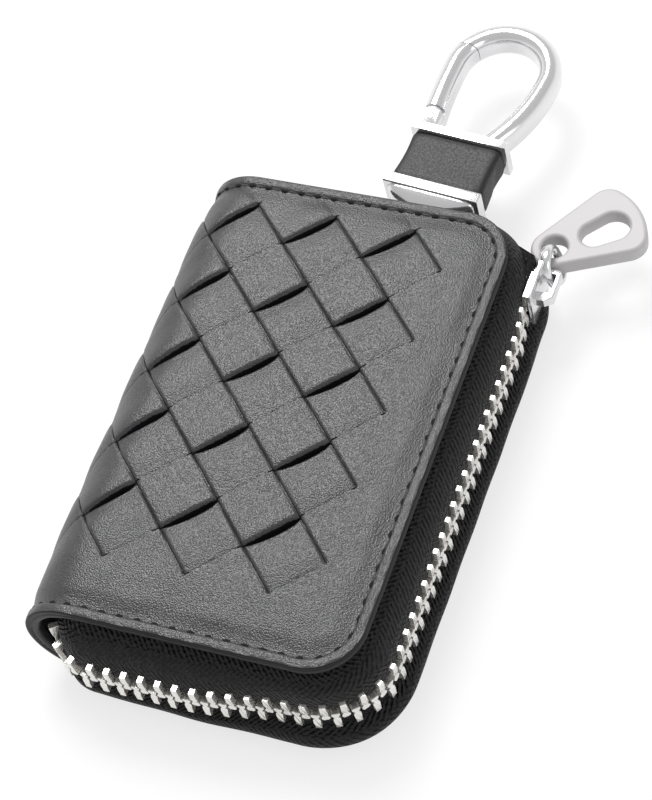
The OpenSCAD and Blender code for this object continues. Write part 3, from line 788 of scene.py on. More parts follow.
# The zip's way round the case, at a distance out from the covers' edge
CHAIN_OUT = 2.3 * MM
SIDE_OUT = 1.1 * MM
SIDE_OUT_RUN = 8 * MM
END_OUT = 2.6 * MM
END_OUT_RUN = 22 * MM
TUCK_OUT_SHARE = 0.3
SLIDER_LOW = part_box("slider_body")[0].y
TUCK_X = -24.2 * MM
TUCK_R = 9 * MM
TUCK_ANGLE = math.radians(82)
TUCK_MIDDLE = Vector((TUCK_X, -END_Y - CHAIN_OUT + TUCK_R))
PINCH_FROM = math.radians(6)
PINCH_IN = 0.8
PINCH_DOWN = 0.34
TURN_STEPS = 24
TAPE_HEIGHT = LINING_Z - MID_Z - 0.45 * MM
FRONT_TAPE_SHARES = [(-0.62, 1.0), (0.15, 0.9), (0.75, 0.74), (1, 0.56), (1, 0.22)]
BACK_TAPE_SHARES = [(-0.3, 1.0), (0.3, 1.0), (0.72, 0.98), (0.95, 0.9), (1.0, 0.78),
                    (0.88, 0.65), (0.62, 0.56), (0.434, 0.47), (0.434, 0.22)]
BELLY_OUT = 5.3 * MM
BELLY_END_SHARE = 0.65
BAND_HALF = 5.0 * MM
BAND_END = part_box("slider_body")[1].y - 0.4 * MM


def side_out(y):
    """How far the chain stands out further below the slider"""
    return SIDE_OUT * float(smooth((SLIDER_LOW - y) / SIDE_OUT_RUN))


def corner_out(t):
    """How far it stands out further over the share t of the corner"""
    return SIDE_OUT * (1 - float(smooth(t)))


def end_out(x):
    """How far it stands out further along the bottom end"""
    return END_OUT * float(smooth((EDGE_X - case().corner_r - x) / END_OUT_RUN))


def tuck_out(t):
    """How far it stands out further over the share t of the tucked end"""
    return END_OUT * (1 - (1 - TUCK_OUT_SHARE) * float(smooth(t)))


def rail(step):
    """Stations along the covers' edge: the point, the way out, the point for the flat band
    beside the slider, how far the chain stands out further and the share of the belly"""
    r = case().corner_r
    cx, cy = EDGE_X - r, END_Y - r
    shares = [k / TURN_STEPS for k in range(TURN_STEPS + 1)]
    stations = []
    for t in shares:
        out = towards(math.pi / 2 * (1 - t))
        flat = Vector((EDGE_X, cy + (BAND_END - cy) * (1 - t)))
        stations.append((Vector((cx, cy)) + out * r, out, flat, 0.0, 1.0))
    count = int(2 * cy / step)
    for k in range(1, count):
        y = cy - 2 * cy * k / count
        stations.append((Vector((EDGE_X, y)), Vector((1, 0)), None, side_out(y), 1.0))
    for t in shares:
        out = towards(-math.pi / 2 * t)
        stations.append((Vector((cx, -cy)) + out * r, out, None, corner_out(t), 1.0))
    run = cx - TUCK_X
    count = int(run / step)
    for k in range(1, count):
        x = cx - run * k / count
        stations.append((Vector((x, -END_Y)), Vector((0, -1)), None, end_out(x),
                         1 - (1 - BELLY_END_SHARE) * k / count))
    for t in shares:
        out = towards(-math.pi / 2 - TUCK_ANGLE * t)
        stations.append((TUCK_MIDDLE + out * (TUCK_R - CHAIN_OUT), out, None, tuck_out(t),
                         BELLY_END_SHARE))
    return stations


def tape_section(side):
    """Closed section of one tape, out and up, and the distance of each point across the cloth"""
    shares = FRONT_TAPE_SHARES if side > 0 else BACK_TAPE_SHARES
    reach = CHAIN_OUT if side > 0 else BELLY_OUT
    line = curve_through([(o * reach, side * v * TAPE_HEIGHT) for o, v in shares], 5)
    half = zip_().tape_t / 2
    offsets = []
    for k in range(len(line)):
        along = line[min(k + 1, len(line) - 1)] - line[max(k - 1, 0)]
        offsets.append(np.array([along[1], -along[0]]) / np.hypot(*along) * half)
    section = [p + n for p, n in zip(line, offsets)]
    section += [p - n for p, n in zip(line[::-1], offsets[::-1])]
    across = list(run_lengths(line))
    return section, across + across[::-1]


def zip_tape_piece(name, side):
    """Sweeps one tape, with a folded edge at the teeth, round the case"""
    section, across = tape_section(side)
    stations = rail(1.0 * MM)
    tuck_start = len(stations) - TURN_STEPS - 1
    rings, cloth, run, before = [], [], 0, None
    for k, (point, out, flat, further, belly) in enumerate(stations):
        ring = []
        turned = TUCK_ANGLE * max(0, k - tuck_start) / TURN_STEPS
        pinch = float(smooth((turned - PINCH_FROM) / (TUCK_ANGLE - PINCH_FROM)))
        for o, z in section:
            o = min(o, CHAIN_OUT) + max(0, o - CHAIN_OUT) * belly
            o += further * (1 - min(1, (z / TAPE_HEIGHT) ** 2))
            o = o + (CHAIN_OUT - o) * PINCH_IN * pinch if abs(z) > BAND_HALF * 0.5 else o
            z = z * (1 - PINCH_DOWN * pinch)
            wave = 0.05 * MM * math.sin(k * 0.41 + 2 * side) * min(1, abs(z) / BAND_HALF) ** 3
            here = point + out * (o + wave)
            if flat is not None:
                w = 1 - float(smooth((abs(z) - BAND_HALF) / (0.8 * MM)))
                here = here.lerp(flat + Vector((o, 0)), w)
            ring.append((here.x, here.y, MID_Z + z))
        if before is not None:
            run += (point - before).length
        before = point
        cloth += [(run, w) for w in across]
        rings.append(ring)
    return outward(piece(name, *loft(rings), [zip_tape()], cloth=cloth))


class KEYCASE_OT_tapes(bpy.types.Operator):
    """Makes the two woven zip tapes"""
    bl_idname = "keycase.tapes"
    bl_label = "Zip tapes"

    def execute(self, context):
        dressed(zip_tape_piece("upper_tape", 1), "zip_tape", "front", "front_tape")
        dressed(zip_tape_piece("lower_tape", -1), "zip_tape", "back", "back_tape")
        return {"FINISHED"}


# Half of a tooth's outline in millimetres: place up from the chain's middle, and half width.
# Its head is a little thinner than its arms
TOOTH = [(-0.85, -0.5), (-0.85, 0.5), (-0.5, 0.84), (-0.1, 0.78), (0.35, 0.48), (0.8, 0.48),
         (1.15, 0.72), (1.8, 0.69), (2.4, 0.63), (3.8, 0.6)]
TOOTH_DEPTH = 1.24
TOOTH_HEAD_END = 1.2
TOOTH_HEAD_SHARE = 0.86
TOOTH_ROUND = 0.11 * MM
TOOTH_COUNT = 45


def tooth_shape():
    """One cast tooth round its tape's edge, out, along and up in metres"""
    outline = TOOTH + [(z, -w) for z, w in reversed(TOOTH[1:])]
    verts = [(d * TOOTH_DEPTH * (1 if z > TOOTH_HEAD_END else TOOTH_HEAD_SHARE) * MM, w * MM, z * MM)
             for d in (-1, 1) for z, w in outline]
    n = len(outline)
    faces = [(i, (i + 1) % n, n + (i + 1) % n, n + i) for i in range(n)]
    faces += [tuple(range(n))[::-1], tuple(range(n, 2 * n))]
    made = outward(piece("tooth", verts, faces, []))
    soft_edges(made, TOOTH_ROUND, 2, 25, False)
    mesh = made.evaluated_get(bpy.context.evaluated_depsgraph_get()).to_mesh()
    shape = [v.co.copy() for v in mesh.vertices]
    quads = [tuple(f.vertices) for f in mesh.polygons]
    bpy.data.objects.remove(made)
    return shape, quads


def chain_place(s):
    """Place and way out at a distance along the chain from its top"""
    cx, cy = EDGE_X - case().corner_r, END_Y - case().corner_r
    r = case().corner_r + CHAIN_OUT
    top = SLIDER_LOW + zip_().tooth_pitch / 4
    side_run, corner_run, end_run = top + cy, r * math.pi / 2, cx - TUCK_X
    if s < side_run:
        return Vector((EDGE_X + CHAIN_OUT + side_out(top - s), top - s)), 0.0
    s -= side_run
    if s < corner_run:
        a = -s / r
        return Vector((cx, -cy)) + towards(a) * (r + corner_out(s / corner_run)), a
    s -= corner_run
    if s < end_run:
        return Vector((cx - s, -END_Y - CHAIN_OUT - end_out(cx - s))), -math.pi / 2
    turned = (s - end_run) / TUCK_R
    a = -math.pi / 2 - turned
    return TUCK_MIDDLE + towards(a) * (TUCK_R + tuck_out(turned / TUCK_ANGLE)), a


def teeth_row(name, side):
    """One row of teeth, half a pitch on from the other"""
    shape, quads = tooth_shape()
    verts, faces = [], []
    phase = 0.0 if side > 0 else 0.5
    for k in range(TOOTH_COUNT):
        spot, a = chain_place((k + phase) * zip_().tooth_pitch)
        turn = Matrix.Rotation(a, 3, "Z")
        if side < 0:
            turn = turn @ Matrix.Rotation(math.pi, 3, "X")
        base = len(verts)
        verts += [turn @ v + Vector((spot.x, spot.y, MID_Z)) for v in shape]
        faces += [[v + base for v in f] for f in quads]
    return piece(name, verts, faces, [zip_metal()], smooth=False)


class KEYCASE_OT_teeth(bpy.types.Operator):
    """Makes the two rows of cast teeth"""
    bl_idname = "keycase.teeth"
    bl_label = "Zip teeth"

    def execute(self, context):
        dressed(teeth_row("upper_teeth", 1), "zip_metal", "front", "front_teeth")
        dressed(teeth_row("lower_teeth", -1), "zip_metal", "back", "back_teeth")
        return {"FINISHED"}


# Inside of the case
LINING_IN = 0.75 * MM
LINING_T = 0.6 * MM
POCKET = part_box("card_pocket")
POCKET_R = 3 * MM
POCKET_T = 0.8 * MM


def slab(name, us, half_width, middle, inner, thick, side, finish):
    """Closed sheet under the leather, between two depths, on one half of the case"""
    rows = np.linspace(-1, 1, 61)
    verts = []
    for depth in (inner, lambda u, y: inner(u, y) - thick):
        for u in us:
            y = middle + rows * half_width(u)
            verts.append(shell(u, y, depth(u, y), side))
    n, m = len(us), len(rows)
    verts = np.concatenate(verts)
    faces = []
    for layer in (0, 1):
        for i in range(n - 1):
            for j in range(m - 1):
                k = layer * n * m + i * m + j
                faces.append((k, k + m, k + m + 1, k + 1)[::1 if layer else -1])
    edge = [(i, 0) for i in range(n)] + [(n - 1, j) for j in range(1, m)]
    edge += [(i, m - 1) for i in range(n - 2, -1, -1)] + [(0, j) for j in range(m - 2, 0, -1)]
    for (i, j), (k, o) in zip(edge, edge[1:] + edge[:1]):
        a, b = i * m + j, k * m + o
        faces.append((a, b, b + n * m, a + n * m))
    return outward(piece(name, verts, faces, [finish]))


def rounded_half(half, past, r):
    """Half width of a panel with round corners, at a distance past where a corner starts"""
    return half - r + math.sqrt(max(0.0, r * r - max(0.0, past) ** 2))


def lining_half(name, side):
    """Cloth on the inside of one cover and half of the spine"""
    end = SHEET_END - LINING_IN
    r = case().corner_r
    arc = [end - r + r * math.sin(math.pi / 2 * k / 12) for k in range(13)]
    us = list(np.linspace(0, end - r, 46)[:-1]) + arc

    def half_width(u):
        return rounded_half(END_Y - LINING_IN, u - (end - r), r)

    def inner(u, y):
        rise = smooth((u - SPINE_HALF * 0.55) / (SPINE_HALF * 0.5))
        crease = 0.1 * MM * np.sin(u * 900) * (1 - rise)
        return -1.2 * MM - 0.85 * MM * rise + crease * np.cos(y * 60)

    return slab(name, us, half_width, 0.0, inner, LINING_T, side, lining_cloth())


def card_pocket():
    """Leather pocket on the front lining, a little open at its mouth"""
    low, high = (SPINE_HALF + v.x - SPINE_X for v in POCKET)
    middle = (POCKET[0].y + POCKET[1].y) / 2
    reach = (POCKET[1].y - POCKET[0].y) / 2
    r = POCKET_R
    arc = [r - r * math.cos(math.pi / 2 * k / 8) for k in range(9)]
    us = [low + a for a in arc] + list(np.linspace(low + r, high - r, 22)[1:-1])
    us += [high - a for a in arc[::-1]]

    def half_width(u):
        return rounded_half(reach, r - min(u - low, high - u), r)

    def inner(u, y):
        across = np.clip((u - low) / (high - low), 0, 1)
        belly = np.sin(math.pi * across) * smooth((y - middle + reach * 0.4) / (reach * 1.3))
        return LINING_Z - 0.02 * MM - TOP_Z - 0.9 * MM * belly

    made = slab("pocket", us, half_width, middle, inner, POCKET_T, 1, smooth_leather())
    dressed(made, "smooth_leather", "front", "card_pocket")


class KEYCASE_OT_inside(bpy.types.Operator):
    """Makes the lining and the card pocket"""
    bl_idname = "keycase.inside"
    bl_label = "Lining and pocket"

    def execute(self, context):
        over_spine(lining_half("lining_front", 1), 1, "lining_fabric",
                   "front_lining", "spine_lining")
        over_spine(lining_half("lining_back", -1), -1, "lining_fabric", "back_lining")
        card_pocket()
        return {"FINISHED"}


# The hook's own frame: x across, y along it from the swing pin
HOOK_TURN = Matrix.Translation(HOOK_AT) @ Matrix.Rotation(-HOOK_LEAN, 4, "Z")
PIN_R = 1.2 * MM
EYE_GAP = 4.2 * MM
STRAP_W = 17 * MM
STRAP_T = 1.4 * MM
FLOOR = 3.25 * MM - MID_Z
TAIL = (-27 * MM, FLOOR + 3.3 * MM)
EAR_T = 1.2 * MM
TONGUE_W = 5 * MM
TONGUE_T = 1.15 * MM

# Outline of a strap's section, in shares of its half width and half thickness
SHARES_ROUND = [(-1, -0.4), (-1, 0.4), (-0.96, 0.85), (-0.88, 1), (-0.4, 1), (0, 1), (0.4, 1),
                (0.88, 1), (0.96, 0.85), (1, 0.4), (1, -0.4), (0.96, -0.85), (0.88, -1),
                (0.4, -1), (0, -1), (-0.4, -1), (-0.88, -1), (-0.96, -0.85)]


def leather_strip(name, path, widths, thick, middle=0.0):
    """Flat strip with rounded edges swept along a path in the hook's upright plane"""
    rings = []
    for k, (y, z) in enumerate(path):
        after, before = path[min(k + 1, len(path) - 1)], path[max(k - 1, 0)]
        way = Vector((after[0] - before[0], after[1] - before[1])).normalized()
        normal = Vector((-way.y, way.x))
        ring = []
        for across, up in SHARES_ROUND:
            lift = normal * (up * thick / 2)
            ring.append(HOOK_TURN @ Vector((middle + across * widths[k] / 2, y + lift.x,
                                            z + lift.y)))
        rings.append(ring)
    return outward(piece(name, *loft(rings), [smooth_leather()]))


def circle_run(middle, r, start, end, count=14):
    """Points on an arc between two turns in degrees"""
    turns = [math.radians(start + (end - start) * k / count) for k in range(count + 1)]
    return [(middle[0] + r * math.cos(a), middle[1] + r * math.sin(a)) for a in turns]


def anchor_strap():
    """Strap from the back cover up to the swing pin, with a tongue for the ring"""
    corner = [(-24.6 * MM, FLOOR + STRAP_T / 2), (-12 * MM, FLOOR + STRAP_T / 2),
              (-9.6 * MM, FLOOR + STRAP_T * 0.9), (-6.5 * MM, -5.2 * MM),
              (-3.6 * MM, -2.4 * MM), (-2.6 * MM, -2.05 * MM)]
    path = [tuple(p) for p in curve_through(corner, 7)]
    widths = [STRAP_W * (0.55 + 0.45 * math.sin(min(1, k / 5) * math.pi / 2))
              for k in range(len(path))]
    parts = [leather_strip("strap", path, widths, STRAP_T)]
    ear = STRAP_W / 2 - EYE_GAP
    loop = [(-3.4 * MM, -2.5 * MM), (-1.6 * MM, -2.0 * MM)]
    loop += circle_run((0, 0), PIN_R + 0.65 * MM, -90, 190)
    loop += [(-2.6 * MM, -1.5 * MM), (-4.2 * MM, -2.0 * MM)]
    for side in (-1, 1):
        parts.append(leather_strip("ear", loop, [ear] * len(loop), EAR_T,
                                   side * (EYE_GAP + ear / 2)))
    tongue = [(-22.5 * MM, FLOOR + STRAP_T + 0.5 * MM), (-24 * MM, FLOOR + STRAP_T + 0.55 * MM)]
    tongue += circle_run(TAIL, 2.7 * MM, -40, 270, 20)
    tongue += [(-25.2 * MM, FLOOR + 0.62 * MM), (-23.5 * MM, FLOOR + 0.7 * MM)]
    parts.append(leather_strip("tongue", tongue, [TONGUE_W] * len(tongue), TONGUE_T))
    with bpy.context.temp_override(active_object=parts[0], selected_editable_objects=parts):
        bpy.ops.object.join()
    parts[0].name = "strap_leather"
    dressed(parts[0], "smooth_leather", "back", "anchor_strap")


BAND_LOW, BAND_HIGH = 8.55 * MM, 20.1 * MM
BAND_X = 0.6 * MM
BAND_HALF_W = 9.85 * MM
BAND_HALF_T = 3.5 * MM
BAND_STEP = 0.3 * MM
BAND_WAIST = 0.045
BAND_TUCK = 0.35 * MM


def hook_band():
    """Leather wound round the hook's shank, with its outer edge on the right side"""
    rings = []
    for t in np.linspace(0, 1, 27):
        waist = 1 - BAND_WAIST * math.sin(math.pi * t)
        tuck = BAND_TUCK * (smooth(1 - t * 9) + smooth(1 - (1 - t) * 9))
        seam = math.radians(-38 + 70 * t)
        ring = []
        for j in range(72):
            a = TURN * j / 72
            x, z = squared(a, 0.22)
            turned = (a - seam + math.pi) % TURN - math.pi
            out = towards(a) * (BAND_STEP * smooth((turned + 0.06) / 0.06)
                                * smooth((1.6 - turned) / 1.2))
            ring.append(HOOK_TURN @ Vector((
                BAND_X + x * (BAND_HALF_W * waist - tuck) + out.x,
                BAND_LOW + (BAND_HIGH - BAND_LOW) * t,
                z * (BAND_HALF_T - tuck * 0.6) + out.y)))
        rings.append(ring)
    made = outward(piece("band_leather", *loft(rings), [smooth_leather()]))
    dressed(made, "smooth_leather", "hook", "hook_band")


# Sections of the shackle's neck in millimetres: place along the hook, half width and half thickness
NECK_SECTIONS = [(6.3, 9.7, 4.0), (5.6, 9.4, 3.85), (4.6, 8.4, 3.5), (3.7, 6.6, 3.1),
                 (3.1, 4.4, 2.75), (2.6, 3.8, 2.4)]


def shackle_neck():
    """Tapered neck between the lower collar and the eye"""
    rings = []
    for y, w, t in NECK_SECTIONS:
        ring = []
        for j in range(48):
            x, z = squared(TURN * j / 48, 0.35)
            ring.append(HOOK_TURN @ Vector((BAND_X * min(1, (y - 2.6) / 3) + x * w * MM, y * MM,
                                            z * t * MM)))
        rings.append(ring)
    dressed(outward(piece("shackle_neck", *loft(rings), [chrome()])), "chrome_plate", "hook")


class KEYCASE_OT_straps(bpy.types.Operator):
    """Makes the anchor strap and the band round the hook"""
    bl_idname = "keycase.straps"
    bl_label = "Strap and band"

    def execute(self, context):
        anchor_strap()
        hook_band()
        shackle_neck()
        return {"FINISHED"}


# Width of the rounding in millimetres, finish, slot and body of each cast piece
SOFT_EDGES = {
    "slider_body": (0.32, chrome, "chrome_plate", "slider"),
    "hook_shackle": (0.35, chrome, "chrome_plate", "hook"),
    "hook_frame": (0.3, chrome, "chrome_plate", "hook"),
    "hook_gate": (0.25, chrome, "chrome_plate", "gate"),
    "bottom_stop": (0.25, zip_metal, "zip_metal", "back"),
    "swing_pin": (0.3, steel, "steel", "back"),
    "strap_rivets": (0.35, steel, "steel", "back"),
    "gate_pin": (0.15, steel, "steel", "hook"),
}


def softened(node, width, finish, slot, body):
    """A piece with the outline of a frame node and rounded edges"""
    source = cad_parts[node]
    made = linked("soft_" + node, source.data.copy())
    made.matrix_world = source.matrix_world
    edited(made,
           lambda cage: bmesh.ops.remove_doubles(cage, verts=cage.verts, dist=0.002 * MM),
           lambda cage: bmesh.ops.dissolve_limit(cage, angle_limit=math.radians(0.6),
                                                 verts=cage.verts, edges=cage.edges))
    soft_edges(made, width * MM, 3, 32, True)
    for polygon in made.data.polygons:
        polygon.use_smooth = True
    made.data.materials.clear()
    made.data.materials.append(finish())
    dressed(made, slot, body, node)


# The puller's own frame: u runs from the middle of its small hole to its wide end
PULLER_AT = Vector((31.926 * MM, 53.182 * MM, MID_Z))
PULLER_TURN = math.radians(40.5)
PULLER_T = 3.6 * MM
PULLER_ROUND = 0.75 * MM
NECK = (Vector((-0.3 * MM, 0)), 4.5 * MM)
CORNER = (Vector((13.4 * MM, 4.5 * MM)), 3.9 * MM)
END_U = 4.6 * MM
SLOT_CIRCLES = ((7.9 * MM, 2.7 * MM), (12.1 * MM, 3.2 * MM))
SLOT_ASIDE = -1.0 * MM
HOLE_R = 2.5 * MM


def puller_outline(inset, around=96):
    """Outer line of the puller, drawn in by an inset"""
    end = Vector((END_U, 0))
    reach = CORNER[0] - end
    turn_end = math.atan2(reach.y, reach.x)
    reach_neck = CORNER[0] - NECK[0]
    lean = math.asin((CORNER[1] - NECK[1]) / reach_neck.length)
    turn_side = math.atan2(reach_neck.y, reach_neck.x) + math.pi / 2 + lean
    points = []
    for k in range(around):
        a = TURN * k / around
        a = a - TURN if a > math.pi else a
        if abs(a) < turn_end:
            spot, r = end, reach.length + CORNER[1]
        elif abs(a) < turn_side:
            spot, r = Vector((CORNER[0].x, math.copysign(CORNER[0].y, a))), CORNER[1]
        else:
            spot, r = NECK
        points.append(spot + towards(a) * (r - inset))
    return points


def puller_opening(circles, inset, aside=0.0, around=48):
    """Line of an opening between two circles along the puller"""
    (x1, r1), (x2, r2) = circles
    turn = math.acos((r1 - r2) / (x2 - x1)) if x2 > x1 else math.pi
    points = []
    for k in range(around):
        a = TURN * (k + 0.5) / around
        a = a - TURN if a > math.pi else a
        x, r = (x2, r2) if abs(a) < turn else (x1, r1)
        points.append(Vector((x, aside)) + towards(a) * (r + inset))
    return points


def puller_plate():
    """Thick plate with rounded edges, a small hole and a large opening"""
    profile = [(PULLER_ROUND * (1 - math.cos(math.pi / 8 * k)),
                PULLER_T / 2 - PULLER_ROUND * (1 - math.sin(math.pi / 8 * k)))
               for k in range(4, -1, -1)]
    profile += [(inset, -z) for inset, z in reversed(profile)]
    turn = Matrix.Translation(PULLER_AT) @ Matrix.Rotation(PULLER_TURN, 4, "Z")
    verts, faces, rims = [], [], {0: [], len(profile) - 1: []}
    hole = ((0, HOLE_R), (0, HOLE_R))
    for line in (puller_outline, lambda i: puller_opening(hole, i),
                 lambda i: puller_opening(SLOT_CIRCLES, i, SLOT_ASIDE)):
        rings = [[turn @ Vector((p.x, p.y, z)) for p in line(inset)] for inset, z in profile]
        more, quads = loft(rings, caps=False)
        base, n = len(verts), len(rings[0])
        faces += [[v + base for v in f] for f in quads]
        verts += more
        for level in rims:
            first = base + level * n
            rims[level] += [(first + j, first + (j + 1) % n) for j in range(n)]

    def fill_faces(cage):
        cage.verts.ensure_lookup_table()
        for pairs in rims.values():
            edges = [cage.edges.get((cage.verts[a], cage.verts[b])) for a, b in pairs]
            filled = bmesh.ops.triangle_fill(cage, use_beauty=True, use_dissolve=False, edges=edges)
            for face in filled["geom"]:
                if isinstance(face, bmesh.types.BMFace):
                    face.smooth = False

    made = outward(edited(piece("puller_plate", verts, faces, [satin_metal()]), fill_faces))
    dressed(made, "satin_metal", "puller", "puller")


WIRE_SIDES = 12
LINK_AT = Vector((32.41 * MM, 49.72 * MM, MID_Z))
LINK_R = 3.5 * MM
LINK_WIRE = 0.85 * MM
LINK_FLAT = 0.55
LINK_STEPS = 40
LINK_WAY = math.radians(98)
LINK_TILT = math.radians(18)


def wire_section(r):
    """Points round a wire's section"""
    return [towards(TURN * j / WIRE_SIDES) * r for j in range(WIRE_SIDES)]


def pull_link():
    """Stout link through the slider's window and the puller's hole"""
    way = towards(LINK_WAY).to_3d()
    side = way.cross(Vector((0, 0, 1)))
    rise = Vector((0, 0, 1)) * math.cos(LINK_TILT) - side * math.sin(LINK_TILT)
    side = way.cross(rise)
    rings = []
    for k in range(LINK_STEPS):
        turn = towards(TURN * k / LINK_STEPS)
        out = way * turn.x + rise * turn.y
        wide = 1.0 + LINK_FLAT * turn.y ** 2
        rings.append([LINK_AT + out * (LINK_R + p.x) + side * (wide * p.y)
                      for p in wire_section(LINK_WIRE)])
    verts, faces = loft(rings, caps=False)
    last = len(verts) - WIRE_SIDES
    around = [(j, (j + 1) % WIRE_SIDES) for j in range(WIRE_SIDES)]
    faces += [(last + j, last + k, k, j) for j, k in around]
    made = outward(piece("link", verts, faces, [chrome()]))
    dressed(made, "chrome_plate", "link", "pull_link")


RING_R = 11.5 * MM
RING_WIRE = 0.8 * MM
RING_STEP = 1.7 * MM
RING_START = math.radians(-70)


def key_ring():
    """Split ring: one wire wound twice round, with a step where it crosses over"""
    low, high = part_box("key_ring")
    rise = (high.z - low.z - 2 * RING_WIRE - RING_STEP) / (high.y - low.y)
    tilt = Matrix.Rotation(-HOOK_LEAN, 3, "Z") @ Matrix.Rotation(math.atan(rise), 3, "X")
    points = []
    for t in np.linspace(0, 1, 129):
        flat = towards(RING_START + 2 * TURN * t) * RING_R
        step = float(smooth((t * 2 - 0.93) / 0.14)) - 0.5
        points.append((low + high) / 2 + tilt @ Vector((flat.x, flat.y, RING_STEP * step)))
    rings = []
    for k, point in enumerate(points):
        way = points[min(k + 1, len(points) - 1)] - points[max(k - 1, 0)]
        across = way.cross(Vector((0.05, 0.02, 1))).normalized()
        above = across.cross(way).normalized()
        rings.append([point + across * p.x + above * p.y for p in wire_section(RING_WIRE)])
    made = outward(piece("split_ring", *loft(rings), [steel()]))
    dressed(made, "steel", "ring", "key_ring")


class KEYCASE_OT_links(bpy.types.Operator):
    """Makes the puller, its link and the split ring"""
    bl_idname = "keycase.links"
    bl_label = "Puller, link and ring"

    def execute(self, context):
        puller_plate()
        pull_link()
        key_ring()
        return {"FINISHED"}


class KEYCASE_OT_metal(bpy.types.Operator):
    """Makes the cast metal with its rounded edges"""
    bl_idname = "keycase.metal"
    bl_label = "Cast metal"

    def execute(self, context):
        for node, (width, finish, slot, body) in SOFT_EDGES.items():
            softened(node, width, finish, slot, body)
        return {"FINISHED"}


# Finish of every piece of the frame, also of those that stay hidden behind a dressed one
NODE_FINISHES = {
    fibre_board: ("back_board", "front_board"),
    outer_leather: ("back_cover", "front_cover", "back_strips", "front_strips", "back_fold",
                    "front_fold", "spine_cover", "spine_strips"),
    lining_cloth: ("back_tape", "front_tape", "back_lining", "front_lining", "spine_lining"),
    zip_metal: ("back_teeth", "front_teeth", "bottom_stop"),
    smooth_leather: ("card_pocket", "hook_band", "anchor_strap"),
    chrome: ("slider_body", "pull_link", "hook_frame", "hook_gate", "hook_shackle"),
    satin_metal: ("puller",),
    steel: ("gate_pin", "gate_spring", "swing_pin", "strap_rivets", "key_ring"),
}


class KEYCASE_OT_finishes(bpy.types.Operator):
    """Gives the pieces kept from the frame their finishes"""
    bl_idname = "keycase.finishes"
    bl_label = "Finishes"

    def execute(self, context):
        for finish, names in NODE_FINISHES.items():
            for name in names:
                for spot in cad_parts[name].material_slots:
                    spot.material = finish()
        return {"FINISHED"}


# Camera: the place and the turn that match the photograph
CAMERA_AT = Vector((164.2, -224.7, 419.3)) * MM
CAMERA_AZIMUTH = math.radians(35.13)
CAMERA_ELEVATION = math.radians(54.76)
CAMERA_ROLL = math.radians(-18.69)
CAMERA_LENS = 117.06

# The key lamp stands where the camera would see it mirrored in the cover
MIRROR_WAY = Vector((-0.332, 0.472, 0.817))
FLOOR_WHITE = 0.72
FLOOR_HALF = 6.0
SKY_LIGHT = 0.62


def softbox(name, place, side, power):
    """Square lamp turned towards the middle of the case"""
    lamp = bpy.data.lights.new(name, "AREA")
    lamp.shape = "SQUARE"
    lamp.size = side
    lamp.energy = power
    made = linked(name, lamp)
    made.location = place
    made.rotation_euler = (-Vector(place)).to_track_quat("-Z", "Y").to_euler()


@paint
def floor(p):
    """White floor that also glows a little to the camera and in mirrors"""
    plain = p.node("ShaderNodeBsdfDiffuse", None, {"Color": (0.95, 0.95, 0.95, 1)})
    white = p.node("ShaderNodeEmission", None, {"Color": (1, 1, 1, 1), "Strength": 1.0})
    seen = p.ray("Camera").math("MAXIMUM", p.ray("Glossy")).math("MAXIMUM", p.ray("Transmission"))
    p.output(p.mix_shaders(seen * FLOOR_WHITE, plain, white))


def sky(p):
    """White to the camera, a dome that darkens upwards in mirrors, and an even grey light"""
    camera, glossy, clear = p.ray("Camera"), p.ray("Glossy"), p.ray("Transmission")
    up = p.node("ShaderNodeSeparateXYZ", None, {0: p.place()}, out=2)
    dome = p.node("ShaderNodeMapRange", {"interpolation_type": "SMOOTHSTEP"},
                  {"Value": up, "From Min": 0.1, "From Max": 0.6, "To Min": 1.0, "To Max": 0.55})
    mirrored = glossy.math("MAXIMUM", clear) * dome
    even = SKY_LIGHT - camera.math("MAXIMUM", glossy).math("MAXIMUM", clear) * SKY_LIGHT
    light = p.node("ShaderNodeBackground", None,
                   {"Color": (1, 1, 1, 1), "Strength": mirrored + camera + even})
    p.output(light, "World")


def photo_camera():
    """Camera with the place, turn and lens fitted to the photograph"""
    data = bpy.data.cameras.new("camera")
    data.lens = CAMERA_LENS
    data.sensor_width = 36
    data.clip_start = 0.01
    data.clip_end = 20
    made = linked("camera", data)
    a, e = CAMERA_AZIMUTH, CAMERA_ELEVATION
    back = Vector((math.sin(a) * math.cos(e), -math.cos(a) * math.cos(e), math.sin(e)))
    level = Vector((math.cos(a), math.sin(a), 0))
    right = level * math.cos(CAMERA_ROLL) + back.cross(level) * math.sin(CAMERA_ROLL)
    turn = Matrix((right, back.cross(right), back)).transposed().to_4x4()
    made.matrix_world = Matrix.Translation(CAMERA_AT) @ turn
    return made


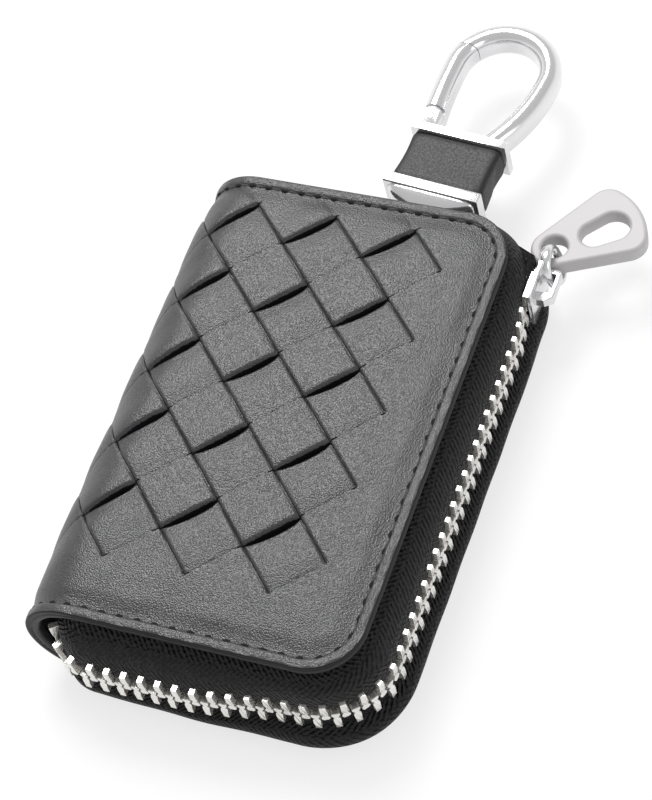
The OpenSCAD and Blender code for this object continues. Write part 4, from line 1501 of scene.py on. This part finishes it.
class KEYCASE_OT_stage(bpy.types.Operator):
    """Makes the floor, the lights, the world and the camera"""
    bl_idname = "keycase.stage"
    bl_label = "Stage"

    def execute(self, context):
        scene = context.scene
        signs = ((-1, -1), (1, -1), (1, 1), (-1, 1))
        corners = [(FLOOR_HALF * x, FLOOR_HALF * y, 0) for x, y in signs]
        piece("floor", corners, [(0, 1, 2, 3)], [floor()])
        scene.world = bpy.data.worlds.new("studio")
        sky(Paint(scene.world))
        softbox("key", MIRROR_WAY * 0.9, 0.42, 6.6)
        softbox("fill", (0.6, -0.1, 0.5), 0.4, 0.7)
        scene.camera = photo_camera()
        scene.view_settings.view_transform = "Standard"
        return {"FINISHED"}


OPERATORS = [KEYCASE_OT_leather, KEYCASE_OT_inside, KEYCASE_OT_tapes, KEYCASE_OT_teeth,
             KEYCASE_OT_straps, KEYCASE_OT_links, KEYCASE_OT_metal, KEYCASE_OT_finishes,
             KEYCASE_OT_stage]


class KEYCASE_PT_panel(bpy.types.Panel):
    """Lists the steps that dress the key case"""
    bl_label = "Key case"
    bl_space_type = "VIEW_3D"
    bl_region_type = "UI"
    bl_category = "Key case"

    def draw(self, context):
        for step in OPERATORS:
            self.layout.operator(step.bl_idname)


CLASSES = [CaseSizes, ZipSizes, HookSizes, *OPERATORS, KEYCASE_PT_panel]


def register():
    for made in CLASSES:
        bpy.utils.register_class(made)
    bpy.types.Scene.case_sizes = bpy.props.PointerProperty(type=CaseSizes)
    bpy.types.Scene.zip_sizes = bpy.props.PointerProperty(type=ZipSizes)
    bpy.types.Scene.hook_sizes = bpy.props.PointerProperty(type=HookSizes)


def unregister():
    del bpy.types.Scene.case_sizes
    del bpy.types.Scene.zip_sizes
    del bpy.types.Scene.hook_sizes
    for made in reversed(CLASSES):
        bpy.utils.unregister_class(made)


def main():
    register()
    bpy.ops.keycase.leather()
    bpy.ops.keycase.inside()
    bpy.ops.keycase.tapes()
    bpy.ops.keycase.teeth()
    bpy.ops.keycase.straps()
    bpy.ops.keycase.links()
    bpy.ops.keycase.metal()
    bpy.ops.keycase.finishes()
    bpy.ops.keycase.stage()


if __name__ == "__main__":
    main()
